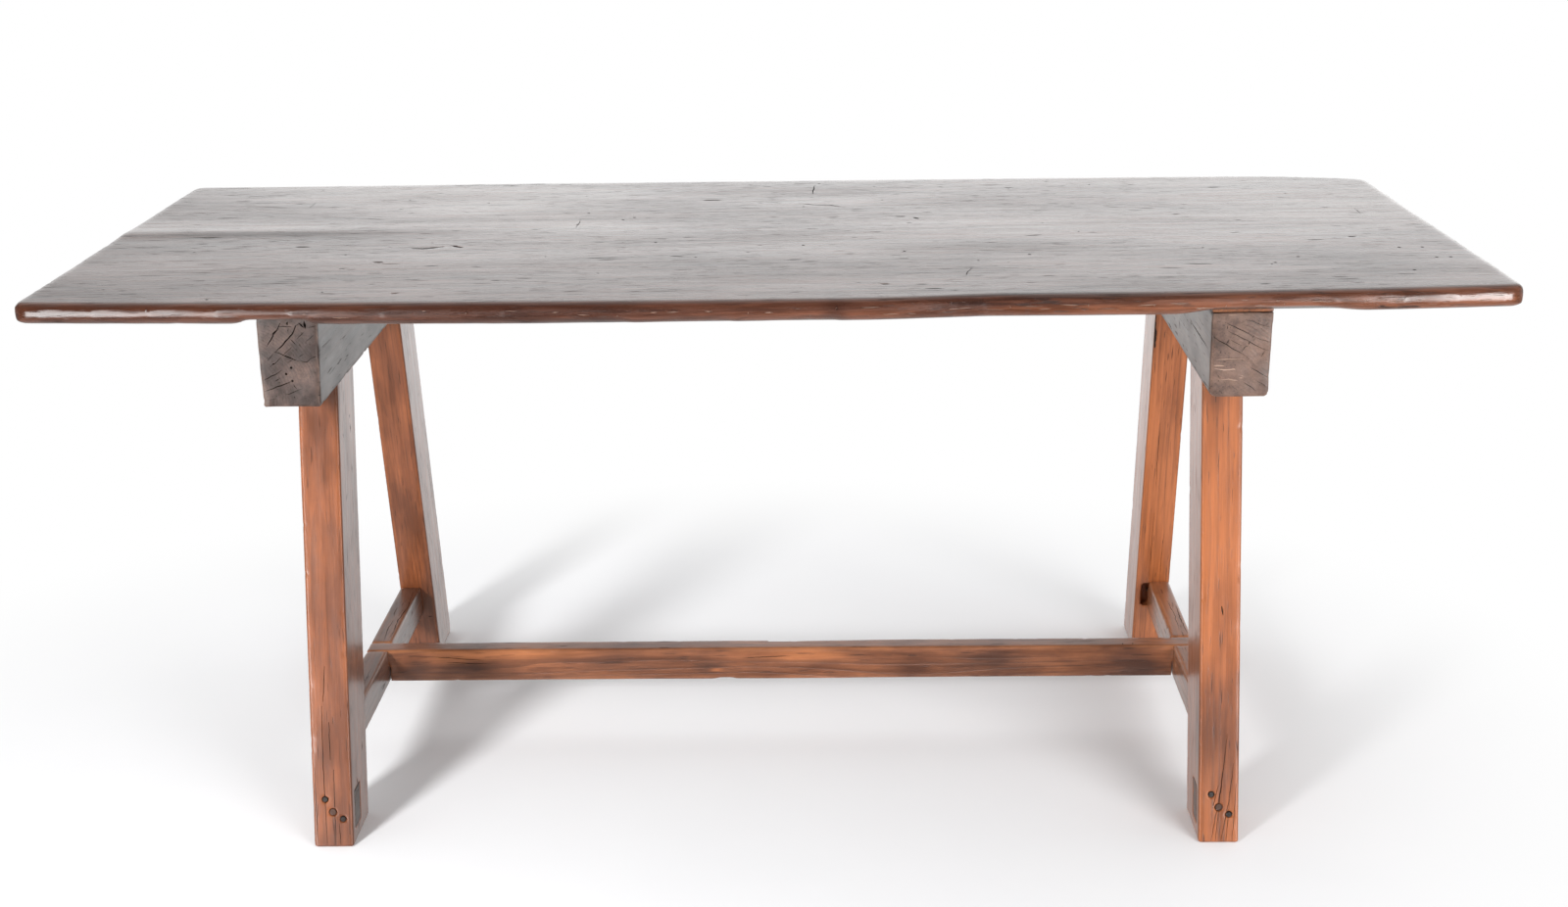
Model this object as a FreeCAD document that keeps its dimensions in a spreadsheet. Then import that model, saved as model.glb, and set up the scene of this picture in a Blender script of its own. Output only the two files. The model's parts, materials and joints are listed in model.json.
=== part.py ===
import FreeCAD, Part
import math
import os
import Sketcher

# Trestle dining table: two wide boards on two A-shaped trestles tied by one long stretcher.
# X runs along the table, Y from front to back, Z up from the floor. The origin is on the floor
# under the middle of the top. Lengths are millimetres.

doc = FreeCAD.newDocument("trestle_table")

SIZES = (
    # The top
    ("table_height", 760, "floor to the upper face of the top"),
    ("top_length", 1858, "left end to right end, along the front"),
    ("top_width", 823, "front edge to back edge, at the widest"),
    ("top_thickness", 28, "both boards"),
    ("front_board_width", 433, "front edge at its furthest point to the seam"),
    ("front_corner_setback", 32, "front corners behind the furthest point of the front edge"),
    ("front_step_place", 248, "middle of the table to the worn step in the front edge"),
    ("front_step_depth", 12, "how far the front edge steps back"),
    ("front_step_run", 44, "length of the step along the edge"),
    ("front_left_bow", 13, "bow of the front edge left of the step"),
    ("front_right_bow", 10, "bow of the front edge right of the step"),
    ("right_end_slant", 22, "how much shorter the right end is at the back"),
    ("back_edge_taper", 29, "how far the back edge runs in from left to right"),
    ("back_corner_run", 210, "length of the waney back right corner"),
    ("back_corner_drop", 41, "how far that corner falls forward"),
    ("top_corner_radius", 20, "corners of the top seen from above"),
    ("front_step_radius", 70, "soft bends of that step"),
    ("top_upper_round", 9, "worn upper edge of the top"),
    ("top_lower_round", 7, "worn lower edge of the top"),
    ("board_dowel_count", 6, "blind dowels across the seam"),
    ("board_dowel_spacing", 300, "from dowel to dowel"),
    ("board_dowel_diameter", 10, "dowel across the seam"),
    ("board_dowel_length", 70, "half of it in each board"),
    # The beams under the top
    ("trestle_spacing", 1184, "middle of the left trestle to middle of the right one"),
    ("base_setback", 11.5, "middle of the trestles behind the middle of the top"),
    ("beam_length", 740, "front end to back end"),
    ("beam_width", 79, "across its upper face"),
    ("beam_drop", 116, "underside of the top to underside of the beams"),
    ("left_beam_taper", 5.5, "right face of the left beam, in at the bottom"),
    ("right_beam_taper", 2.5, "right face of the right beam, in at the bottom"),
    ("left_beam_round", 3, "long lower edges of the left beam"),
    ("right_beam_round", 9, "worn long lower edges of the right beam"),
    ("housing_depth", 6, "left beam let into the underside of the top"),
    ("housing_flare", 15, "sloped run-out of that housing on its outer side"),
    ("packing_thickness", 7, "strip between the right beam and the top"),
    ("beam_dowel_diameter", 12, "blind dowel from a beam into the top"),
    ("beam_dowel_depth", 40, "dowel in the beam"),
    ("top_dowel_depth", 14, "dowel in the board"),
    ("beam_dowel_inner", 95, "inner dowels from the middle of the beam"),
    ("beam_dowel_outer", 300, "outer dowels from the middle of the beam"),
    # The legs
    ("leg_width", 53.5, "along the table"),
    ("leg_depth", 99, "front to back, measured level"),
    ("foot_reach", 377, "middle of the trestle to the outer face of a leg at the floor"),
    ("head_reach", 250, "the same, at the underside of the beam"),
    ("leg_edge_round", 3, "long edges of the legs"),
    ("foot_edge_round", 3, "edges of the feet"),
    ("leg_tenon_thickness", 26, "tenon of a leg, along the table"),
    ("leg_tenon_shoulder", 18, "shoulder in front of and behind that tenon"),
    ("leg_tenon_length", 62, "how far it stands in the beam"),
    ("leg_peg_diameter", 10, "peg through a beam into a leg"),
    ("leg_peg_length", 57, "blind, from the outer face of the beam"),
    ("leg_peg_recess", 3, "outer end of the peg inside the edge of the beam"),
    # The stretchers
    ("cross_width", 33, "cross stretcher, along the table"),
    ("cross_height", 51, "cross stretcher, upright"),
    ("cross_underside", 78, "floor to the underside of the cross stretchers"),
    ("cross_inset", 1.5, "outer face of a cross stretcher behind that of the legs"),
    ("cross_tenon_thickness", 16, "tenon of a cross stretcher, along the table"),
    ("cross_tenon_height", 36, "that tenon, upright"),
    ("cross_tenon_length", 45, "how far it stands in the leg"),
    ("cross_peg_diameter", 8, "peg through a leg into a cross stretcher"),
    ("cross_peg_length", 32, "blind, from the outer face of the leg"),
    ("cross_peg_recess", 1, "outer end of the peg inside the face of the leg"),
    ("open_mortise_width", 8.5, "open part of the old mortise in the back right leg"),
    ("open_mortise_height", 40, "that mortise, upright"),
    ("open_mortise_depth", 25, "that mortise, into the leg"),
    ("long_width", 33, "long stretcher, front to back"),
    ("long_height", 51, "long stretcher, upright"),
    ("long_setback", 8.5, "long stretcher behind the middle of the trestles"),
    ("lap_height", 25, "tongue of the long stretcher over a cross stretcher"),
    ("lap_peg_diameter", 8, "peg up through a cross stretcher into the lap"),
    ("lap_peg_length", 38, "that peg"),
    ("lap_peg_recess", 1, "lower end of that peg inside the underside"),
    ("stretcher_edge_round", 3, "long edges of the stretchers"),
    # Old peg holes and mortises in the front feet
    ("foot_peg_diameter", 8, "dark peg stubs"),
    ("foot_peg_length", 14, "into the foot"),
    ("upper_peg_height", 65, "floor to the upper stub"),
    ("upper_peg_offset", 10, "upper stub left of the middle of the foot"),
    ("lower_peg_height", 38.5, "floor to the lower stub"),
    ("lower_peg_offset", 13.5, "lower stub right of the middle of the foot"),
    ("filler_diameter", 9.5, "grey filler between the stubs"),
    ("filler_length", 8, "into the foot"),
    ("filler_height", 48, "floor to the filler"),
    ("patch_setback", 17, "filled mortise behind the outer face of the leg"),
    ("patch_width", 31, "filled mortise, front to back"),
    ("patch_height", 50, "filled mortise, upright"),
    ("patch_base", 18, "floor to the filled mortise"),
    ("patch_depth", 20, "filled mortise, into the leg"),
    # Fits
    ("joint_clearance", 0.2, "round every tenon, peg, dowel and patch"),
)

# Places worked out from the sizes above.
PLACES = (
    ("front_edge", "-Size.top_width / 2"),
    ("back_edge", "Size.top_width / 2"),
    ("front_corner", "front_edge + Size.front_corner_setback"),
    ("back_corner", "back_edge - Size.back_edge_taper - Size.back_corner_drop"),
    ("seam", "front_edge + Size.front_board_width"),
    ("left_end", "-Size.top_length / 2"),
    ("right_end", "Size.top_length / 2"),
    ("right_slope", "Size.right_end_slant / (back_corner - front_corner)"),
    ("right_end_seam", "right_end - right_slope * (seam - front_corner)"),
    ("right_end_back", "right_end - Size.right_end_slant"),
    ("back_edge_run", "right_end_back - Size.back_corner_run - left_end"),
    ("back_corner_chord", "sqrt(Size.back_corner_run^2 + Size.back_corner_drop^2)"),
    ("back_corner_angle", "atan(Size.back_corner_drop / Size.back_corner_run)"),
    ("back_corner_turn", "back_corner_angle - atan(Size.back_edge_taper / back_edge_run)"),
    ("back_corner_bow", "back_corner_chord / 2 * tan(back_corner_turn / 2)"),
    ("top_underside", "Size.table_height - Size.top_thickness"),
    ("top_middle", "Size.table_height - Size.top_thickness / 2"),
    ("beam_underside", "top_underside - Size.beam_drop"),
    ("left_beam_top", "top_underside + Size.housing_depth"),
    ("right_beam_top", "top_underside - Size.packing_thickness"),
    ("trestle_place", "Size.trestle_spacing / 2"),
    ("leg_slope", "(Size.foot_reach - Size.head_reach) / beam_underside"),
    ("splay", "atan(leg_slope)"),
    ("leg_peg_height", "beam_underside + Size.leg_tenon_length / 2"),
    ("leg_peg_reach", "Size.foot_reach - leg_slope * leg_peg_height - Size.leg_depth / 2"),
    ("leg_peg_outer", "Size.beam_width / 2 - Size.leg_peg_recess"),
    ("cross_top", "Size.cross_underside + Size.cross_height"),
    ("cross_middle", "Size.cross_underside + Size.cross_height / 2"),
    ("cross_outer", "Size.leg_width / 2 - Size.cross_inset"),
    ("cross_centre", "cross_outer - Size.cross_width / 2"),
    ("cross_inner", "cross_outer - Size.cross_width"),
    ("cross_shoulder", "Size.foot_reach - leg_slope * cross_middle - Size.leg_depth"),
    ("cross_tenon_reach", "cross_shoulder + Size.cross_tenon_length"),
    ("cross_peg_reach", "cross_shoulder + Size.cross_tenon_length / 2"),
    ("cross_peg_outer", "Size.leg_width / 2 - Size.cross_peg_recess"),
    ("lap_floor", "cross_top - Size.lap_height"),
    ("long_underside", "cross_top - Size.long_height"),
    ("long_end", "trestle_place + cross_outer"),
    ("long_shoulder", "trestle_place + cross_inner - Size.joint_clearance"),
)

LEFT, RIGHT = -1, 1
FRONT, BACK = -1, 1
SIDE_NAMES = {LEFT: "left", RIGHT: "right"}
END_NAMES = {FRONT: "front", BACK: "back"}
# A quarter turn about these lays an upright rod along the table, or from front to back.
ALONG_X = FreeCAD.Vector(0, 1, 0)
ALONG_Y = FreeCAD.Vector(1, 0, 0)
QUARTER_TURN = "90 deg"
# Two points closer than this are the same point.
SAME_PLACE = 0.01
# Cuts that open through a face start this far outside it.
CUT_MARGIN = "2"
# Hidden pegs and dowels are riven, with eight flats. The old stubs in the feet are round.
RIVEN, RIVEN_SIDES = "Prism", 8
ROUND = "Cylinder"

sizes = doc.addObject("Spreadsheet::Sheet", "Size")
for row, (alias, number, note) in enumerate(SIZES, 1):
    sizes.set(f"A{row}", note)
    sizes.set(f"B{row}", str(number))
    sizes.setAlias(f"B{row}", alias)

places = doc.addObject("Spreadsheet::Sheet", "Place")
for row, (alias, formula) in enumerate(PLACES, 1):
    places.set(f"B{row}", "=" + formula)
    places.setAlias(f"B{row}", alias)
doc.recompute()

pieces = []


def value(expression):
    """The number that an expression on the sheets comes to."""
    result = sizes.evalExpression(str(expression))
    return float(getattr(result, "Value", result))


def bind(thing, **expressions):
    for name, expression in expressions.items():
        thing.setExpression(name, str(expression))


def stand(thing, x="0", y="0", z="0"):
    """Places a piece or a feature by three expressions."""
    for axis, expression in (("x", x), ("y", y), ("z", z)):
        thing.setExpression("Placement.Base." + axis, expression)


def turn(thing, axis, angle):
    thing.Placement = FreeCAD.Placement(FreeCAD.Vector(), FreeCAD.Rotation(axis, value(angle)))
    thing.setExpression("Placement.Rotation.Angle", angle)


def new_body(label):
    body = doc.addObject("PartDesign::Body", label)
    body.Label = label
    pieces.append(body)
    return body


def new_sketch(body, name, role):
    sketch = body.newObject("Sketcher::SketchObject", name)
    origin_plane = next(f for f in body.Origin.OriginFeatures if f.Role == role)
    sketch.AttachmentSupport = [(origin_plane, "")]
    sketch.MapMode = "FlatFace"
    return sketch


def bow_radius(start, end, bow):
    """Radius of the arc over a chord that stands out from it by the bow."""
    square = f"(({end[0]}) - ({start[0]}))^2 + (({end[1]}) - ({start[1]}))^2"
    return f"({square}) / (8 * {bow}) + {bow} / 2"


def bowed_side(start, end, bow):
    """Arc of an outline that runs anticlockwise, bowed outwards."""
    first = FreeCAD.Vector(value(start[0]), value(start[1]), 0)
    last = FreeCAD.Vector(value(end[0]), value(end[1]), 0)
    chord = last - first
    inwards = FreeCAD.Vector(-chord.y, chord.x, 0).normalize()
    radius = value(bow_radius(start, end, bow))
    centre = (first + last) * 0.5 + inwards * (radius - value(bow))
    angles = [math.atan2(p.y - centre.y, p.x - centre.x) for p in (first, last)]
    return Part.ArcOfCircle(Part.Circle(centre, FreeCAD.Vector(0, 0, 1), radius), *angles)


def outline(body, name, role, corners, bows=None):
    """Closed sketch through corners given as pairs of expressions. A side with a bow is an arc."""
    bows = bows or {}
    sketch = new_sketch(body, name, role)
    following = corners[1:] + corners[:1]
    for side, (start, end) in enumerate(zip(corners, following)):
        if side in bows:
            sketch.addGeometry(bowed_side(start, end, bows[side]))
        else:
            ends = [FreeCAD.Vector(value(x), value(y), 0) for x, y in (start, end)]
            sketch.addGeometry(Part.LineSegment(*ends))
    for side in range(len(corners)):
        neighbour = (side + 1) % len(corners)
        sketch.addConstraint(Sketcher.Constraint("Coincident", side, 2, neighbour, 1))
    for side, (x, y) in enumerate(corners):
        for kind, expression in (("DistanceX", x), ("DistanceY", y)):
            datum = Sketcher.Constraint(kind, -1, 1, side, 1, value(expression))
            sketch.setExpression(f"Constraints[{sketch.addConstraint(datum)}]", expression)
    for side, bow in bows.items():
        radius = bow_radius(corners[side], following[side], bow)
        datum = Sketcher.Constraint("Radius", side, value(radius))
        sketch.setExpression(f"Constraints[{sketch.addConstraint(datum)}]", radius)
    return sketch


def pad(body, name, sketch, length):
    """Wood on both sides of the sketch, half the length each way."""
    feature = body.newObject("PartDesign::Pad", name)
    feature.Profile = sketch
    feature.Midplane = True
    bind(feature, Length=length)
    body.Tip = feature
    return feature


def pocket(body, name, sketch, length):
    """Cut on both sides of the sketch, so that its direction can't miss the wood."""
    feature = body.newObject("PartDesign::Pocket", name)
    feature.Profile = sketch
    feature.Midplane = True
    bind(feature, Length=length)
    body.Tip = feature
    return feature


def round_edges(body, name, radius, wanted):
    """Rounds the edges of the piece so far that the test picks out."""
    doc.recompute()
    base = body.Tip
    edges = [f"Edge{n}" for n, edge in enumerate(base.Shape.Edges, 1) if wanted(edge)]
    feature = body.newObject("PartDesign::Fillet", name)
    feature.Base = (base, edges)
    bind(feature, Radius=radius)
    body.Tip = feature
    return feature


def level_at(edge, height):
    box = edge.BoundBox
    return abs(box.ZMin - height) < SAME_PLACE and abs(box.ZMax - height) < SAME_PLACE


def upright_at(edge, corners):
    """True for an upright edge that stands on one of the corners."""
    if len(edge.Vertexes) != 2:
        return False
    foot, head = (vertex.Point for vertex in edge.Vertexes)
    if abs(foot.x - head.x) > SAME_PLACE or abs(foot.y - head.y) > SAME_PLACE:
        return False
    return any(
        abs(foot.x - value(x)) < SAME_PLACE and abs(foot.y - value(y)) < SAME_PLACE for x, y in corners
    )


def rod(kind, owner, name, diameter, length, axis, angle, place):
    """A peg, or the bore for one, from a base point along its axis."""
    feature = owner.newObject(kind, name) if kind.startswith("PartDesign") else owner.addObject(kind, name)
    if axis is not None:
        turn(feature, axis, angle)
    half = f"({diameter}) / 2"
    if kind.endswith(RIVEN):
        feature.Polygon = RIVEN_SIDES
        bind(feature, Circumradius=half, Height=length)
    else:
        bind(feature, Radius=half, Height=length)
    stand(feature, *place)
    return feature


def bore(body, name, diameter, length, axis, angle, place, form=RIVEN):
    clear = f"{diameter} + 2 * Size.joint_clearance"
    feature = rod("PartDesign::Subtractive" + form, body, name, clear, length, axis, angle, place)
    body.Tip = feature
    return feature


def peg(name, diameter, length, axis, angle, place, form=RIVEN):
    return rod("Part::" + form, doc, name, diameter, length, axis, angle, place)


def peg_group(label, members, x="0", y="0"):
    group = doc.addObject("Part::Compound", label)
    group.Label = label
    group.Links = members
    stand(group, x, y)
    pieces.append(group)
    return group


def box_cut(body, name, length, width, height, place):
    feature = body.newObject("PartDesign::SubtractiveBox", name)
    bind(feature, Length=length, Width=width, Height=height)
    stand(feature, *place)
    body.Tip = feature
    return feature


# The two boards of the top

FRONT_BOARD = (
    ("Place.left_end", "Place.front_corner"),
    ("Size.front_step_place - Size.front_step_run / 2", "Place.front_edge"),
    ("Size.front_step_place + Size.front_step_run / 2", "Place.front_edge + Size.front_step_depth"),
    ("Place.right_end", "Place.front_corner"),
    ("Place.right_end_seam", "Place.seam"),
    ("Place.left_end", "Place.seam"),
)
BACK_BOARD = (
    ("Place.left_end", "Place.seam"),
    ("Place.right_end_seam", "Place.seam"),
    ("Place.right_end_back", "Place.back_corner"),
    ("Place.right_end_back - Size.back_corner_run", "Place.back_edge - Size.back_edge_taper"),
    ("Place.left_end", "Place.back_edge"),
)


def board_dowel_places():
    count = round(value("Size.board_dowel_count"))
    return [f"({n} - ({count} - 1) / 2) * Size.board_dowel_spacing" for n in range(count)]


def beam_dowel_places():
    return [f"{end} * Size.beam_dowel_{row}" for end in (FRONT, BACK) for row in ("inner", "outer")]


def top_board(label, corners, bows, sharp, soft, end):
    body = new_body(label)
    sketch = outline(body, label + "_outline", "XY_Plane", corners, bows)
    sketch.setExpression("AttachmentOffset.Base.z", "Place.top_middle")
    pad(body, label + "_blank", sketch, "Size.top_thickness")
    round_edges(body, label + "_corners", "Size.top_corner_radius", lambda e: upright_at(e, sharp))
    if soft:
        round_edges(body, label + "_step", "Size.front_step_radius", lambda e: upright_at(e, soft))
    seam = value("Place.seam")

    def rim(edge, height):
        box = edge.BoundBox
        on_seam = abs(box.YMin - seam) < SAME_PLACE and abs(box.YMax - seam) < SAME_PLACE
        return level_at(edge, height) and not on_seam

    upper = value("Size.table_height")
    lower = value("Place.top_underside")
    round_edges(body, label + "_upper_edge", "Size.top_upper_round", lambda e: rim(e, upper))
    round_edges(body, label + "_lower_edge", "Size.top_lower_round", lambda e: rim(e, lower))

    # Housing for the left beam, with its sloped run-out
    inner = "-Place.trestle_place + Size.beam_width / 2 + Size.joint_clearance"
    outer = "-Place.trestle_place - Size.beam_width / 2 - Size.joint_clearance"
    roof = "Place.left_beam_top"
    below = f"Place.top_underside - {CUT_MARGIN}"
    housing = (
        (inner, below),
        (inner, roof),
        (outer, roof),
        (f"{outer} - Size.housing_flare", "Place.top_underside"),
        (f"{outer} - Size.housing_flare", below),
    )
    section = outline(body, label + "_housing_section", "XZ_Plane", housing)
    pocket(body, label + "_housing", section, "2 * Size.top_width")

    # Bores across the seam and up from the beams
    reach = "Size.board_dowel_length / 2 + Size.joint_clearance"
    rear_end = "Place.seam" if end == FRONT else f"Place.seam + {reach}"
    wide = "Size.board_dowel_diameter"
    for n, x in enumerate(board_dowel_places(), 1):
        place = (x, rear_end, "Place.top_middle")
        bore(body, f"{label}_seam_bore_{n}", wide, reach, ALONG_Y, QUARTER_TURN, place)
    depth = "Size.top_dowel_depth + Size.joint_clearance"
    for side, floor in ((LEFT, "Place.left_beam_top"), (RIGHT, "Place.top_underside")):
        for row in ("inner", "outer"):
            y = f"Size.base_setback + {end} * Size.beam_dowel_{row}"
            place = (f"{side} * Place.trestle_place", y, floor)
            name = f"{label}_{SIDE_NAMES[side]}_{row}_bore"
            bore(body, name, "Size.beam_dowel_diameter", depth, None, None, place)


front_bows = {0: "Size.front_left_bow", 2: "Size.front_right_bow"}
top_board("top_front_board", FRONT_BOARD, front_bows, FRONT_BOARD[0:4:3], FRONT_BOARD[1:3], FRONT)
back_bows = {2: "Place.back_corner_bow"}
top_board("top_back_board", BACK_BOARD, back_bows, BACK_BOARD[2:5:2], (), BACK)

peg_group(
    "board_dowels",
    [
        peg(
            f"board_dowel_{n}",
            "Size.board_dowel_diameter",
            "Size.board_dowel_length",
            ALONG_Y,
            QUARTER_TURN,
            (x, "Place.seam + Size.board_dowel_length / 2", "Place.top_middle"),
        )
        for n, x in enumerate(board_dowel_places(), 1)
    ],
)

# The beams, the packing strip and the dowels that hold the top


def tenon_outline(grow):
    """Side view of a leg's tenon, leaning with the leg, grown all round for its mortise."""
    low = f"Place.beam_underside - {grow}"
    high = f"Place.beam_underside + Size.leg_tenon_length + {grow}"
    outer = f"Size.foot_reach - Size.leg_tenon_shoulder + {grow}"
    inner = f"Size.foot_reach - Size.leg_depth + Size.leg_tenon_shoulder - {grow}"
    return [
        (f"{reach} - Place.leg_slope * ({level})", level)
        for reach, level in ((outer, low), (inner, low), (inner, high), (outer, high))
    ]


def facing(end, corners):
    """Turns a side view drawn by its reach from the middle towards the front or the back."""
    return [(f"{end} * ({reach})", level) for reach, level in corners]


def beam(side, taper, beam_top, edge_round):
    label = SIDE_NAMES[side] + "_beam"
    body = new_body(label)
    stand(body, f"{side} * Place.trestle_place", "Size.base_setback")
    half = "Size.beam_width / 2"
    section = (
        (f"-{half}", "Place.beam_underside"),
        (f"{half} - {taper}", "Place.beam_underside"),
        (half, beam_top),
        (f"-{half}", beam_top),
    )
    pad(body, label + "_blank", outline(body, label + "_section", "XZ_Plane", section), "Size.beam_length")
    bottom = value("Place.beam_underside")
    long_enough = value("Size.beam_length") / 2

    def lower_edge(edge):
        return level_at(edge, bottom) and edge.Length > long_enough

    round_edges(body, label + "_lower_edges", edge_round, lower_edge)
    for end in (FRONT, BACK):
        name = f"{label}_{END_NAMES[end]}"
        mortise = facing(end, tenon_outline("Size.joint_clearance"))
        sketch = outline(body, name + "_mortise_outline", "YZ_Plane", mortise)
        pocket(body, name + "_mortise", sketch, "Size.leg_tenon_thickness + 2 * Size.joint_clearance")
        length = "Size.leg_peg_length + Size.leg_peg_recess + Size.joint_clearance"
        turn_in = f"{-side} * {QUARTER_TURN}"
        place = (f"{side} * {half}", f"{end} * Place.leg_peg_reach", "Place.leg_peg_height")
        bore(body, name + "_peg_bore", "Size.leg_peg_diameter", length, ALONG_X, turn_in, place)
    depth = "Size.beam_dowel_depth + Size.joint_clearance"
    for n, y in enumerate(beam_dowel_places(), 1):
        place = ("0", y, f"{beam_top} - ({depth})")
        bore(body, f"{label}_dowel_bore_{n}", "Size.beam_dowel_diameter", depth, None, None, place)


beam(LEFT, "Size.left_beam_taper", "Place.left_beam_top", "Size.left_beam_round")
beam(RIGHT, "Size.right_beam_taper", "Place.right_beam_top", "Size.right_beam_round")


def packing_strip():
    label = "right_packing_strip"
    body = new_body(label)
    stand(body, "Place.trestle_place", "Size.base_setback")
    half = "Size.beam_width / 2"
    section = (
        (f"-{half}", "Place.right_beam_top"),
        (half, "Place.right_beam_top"),
        (half, "Place.top_underside"),
        (f"-{half}", "Place.top_underside"),
    )
    pad(body, label + "_blank", outline(body, label + "_section", "XZ_Plane", section), "Size.beam_length")
    for n, y in enumerate(beam_dowel_places(), 1):
        place = ("0", y, "Place.right_beam_top")
        depth = "Size.packing_thickness"
        bore(body, f"{label}_bore_{n}", "Size.beam_dowel_diameter", depth, None, None, place)


packing_strip()


def beam_dowels(side, beam_top, between):
    label = SIDE_NAMES[side] + "_beam_dowels"
    length = f"Size.beam_dowel_depth + {between} + Size.top_dowel_depth"
    members = [
        peg(
            f"{label}_{n}",
            "Size.beam_dowel_diameter",
            length,
            None,
            None,
            ("0", y, f"{beam_top} - Size.beam_dowel_depth"),
        )
        for n, y in enumerate(beam_dowel_places(), 1)
    ]
    peg_group(label, members, f"{side} * Place.trestle_place", "Size.base_setback")


beam_dowels(LEFT, "Place.left_beam_top", "0")
beam_dowels(RIGHT, "Place.right_beam_top", "Size.packing_thickness")

# The legs


def foot_bore(body, name, diameter, length, offset, height):
    """Bore square to the sloped outer face of a front foot."""
    depth = f"({length} + Size.joint_clearance)"
    place = face_place(offset, height, depth)
    reach = f"{depth} + {CUT_MARGIN}"
    bore(body, name, diameter, reach, ALONG_Y, f"{QUARTER_TURN} - Place.splay", place, ROUND)


def face_place(offset, height, depth):
    """Point at a depth behind a point of a front foot's outer face."""
    y = f"-(Size.foot_reach - Place.leg_slope * {height}) + {depth} * cos(Place.splay)"
    return (offset, y, f"{height} - {depth} * sin(Place.splay)")


FOOT_STUBS = (
    ("upper", "-Size.upper_peg_offset", "Size.upper_peg_height"),
    ("lower", "Size.lower_peg_offset", "Size.lower_peg_height"),
)


def patch_outline(shrink):
    """Side view of the filled mortise, leaning with the leg."""
    low = f"Size.patch_base + {shrink}"
    high = f"Size.patch_base + Size.patch_height - {shrink}"
    outer = f"Size.foot_reach - Size.patch_setback - {shrink}"
    inner = f"Size.foot_reach - Size.patch_setback - Size.patch_width + {shrink}"
    return [
        (f"{reach} - Place.leg_slope * ({level})", level)
        for reach, level in ((outer, low), (inner, low), (inner, high), (outer, high))
    ]


def leg(side, end):
    label = f"{END_NAMES[end]}_{SIDE_NAMES[side]}_leg"
    body = new_body(label)
    stand(body, f"{side} * Place.trestle_place", "Size.base_setback")
    blank = (
        ("Size.foot_reach", "0"),
        ("Size.foot_reach - Size.leg_depth", "0"),
        ("Size.head_reach - Size.leg_depth", "Place.beam_underside"),
        ("Size.head_reach", "Place.beam_underside"),
    )
    sketch = outline(body, label + "_outline", "YZ_Plane", facing(end, blank))
    pad(body, label + "_blank", sketch, "Size.leg_width")
    tall = value("Place.beam_underside") / 2
    round_edges(body, label + "_long_edges", "Size.leg_edge_round", lambda e: e.BoundBox.ZLength > tall)
    round_edges(body, label + "_foot_edges", "Size.foot_edge_round", lambda e: level_at(e, 0))
    sketch = outline(body, label + "_tenon_outline", "YZ_Plane", facing(end, tenon_outline("0")))
    pad(body, label + "_tenon", sketch, "Size.leg_tenon_thickness")

    # Peg hole through the tenon in the beam
    half = "Size.beam_width / 2"
    length = "Size.leg_peg_length + Size.leg_peg_recess + Size.joint_clearance"
    place = (f"{side} * {half}", f"{end} * Place.leg_peg_reach", "Place.leg_peg_height")
    turn_in = f"{-side} * {QUARTER_TURN}"
    bore(body, label + "_tenon_bore", "Size.leg_peg_diameter", length, ALONG_X, turn_in, place)

    # Mortise for the cross stretcher, and its peg hole from the outer face
    thick = "Size.cross_tenon_thickness + 2 * Size.joint_clearance"
    tall_slot = "Size.cross_tenon_height + 2 * Size.joint_clearance"
    deep = "Size.cross_tenon_length + Size.cross_tenon_height + Size.joint_clearance"
    far = "Place.cross_tenon_reach + Size.joint_clearance"
    place = (
        f"{side} * Place.cross_centre - ({thick}) / 2",
        f"-({far})" if end == FRONT else f"{far} - ({deep})",
        f"Place.cross_middle - ({tall_slot}) / 2",
    )
    box_cut(body, label + "_mortise", thick, deep, tall_slot, place)
    length = "Size.cross_peg_length + Size.cross_peg_recess + Size.joint_clearance"
    place = (f"{side} * Size.leg_width / 2", f"{end} * Place.cross_peg_reach", "Place.cross_middle")
    bore(body, label + "_peg_bore", "Size.cross_peg_diameter", length, ALONG_X, turn_in, place)

    if (side, end) == (RIGHT, BACK):
        # The old mortise is wider than the stretcher and stays open beside it
        wide = "Size.open_mortise_width + (Size.cross_width - Size.cross_tenon_thickness) / 2"
        deep = "Size.open_mortise_depth + Size.cross_height"
        place = (
            "Place.cross_inner - Size.open_mortise_width",
            "Place.cross_shoulder + Size.open_mortise_depth - (" + deep + ")",
            "Place.cross_middle - Size.open_mortise_height / 2",
        )
        box_cut(body, label + "_open_mortise", wide, deep, "Size.open_mortise_height", place)
    if end == FRONT:
        for row, offset, height in FOOT_STUBS:
            name = f"{label}_{row}_stub_bore"
            foot_bore(body, name, "Size.foot_peg_diameter", "Size.foot_peg_length", offset, height)
        name = label + "_filler_bore"
        foot_bore(body, name, "Size.filler_diameter", "Size.filler_length", "0", "Size.filler_height")
        sketch = outline(body, label + "_patch_outline", "YZ_Plane", facing(end, patch_outline("0")))
        sketch.setExpression("AttachmentOffset.Base.z", f"{-side} * Size.leg_width / 2")
        pocket(body, label + "_patch_mortise", sketch, "2 * Size.patch_depth")


for trestle in (LEFT, RIGHT):
    for trestle_end in (FRONT, BACK):
        leg(trestle, trestle_end)


def trestle_pegs(side, kind, diameter, length, outer, reach, height):
    """The front and back peg of one trestle, driven in from its outer face."""
    label = f"{SIDE_NAMES[side]}_{kind}_pegs"
    members = [
        peg(
            f"{label}_{END_NAMES[end]}",
            diameter,
            length,
            ALONG_X,
            f"{-side} * {QUARTER_TURN}",
            (f"{side} * {outer}", f"{end} * {reach}", height),
        )
        for end in (FRONT, BACK)
    ]
    peg_group(label, members, f"{side} * Place.trestle_place", "Size.base_setback")


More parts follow.
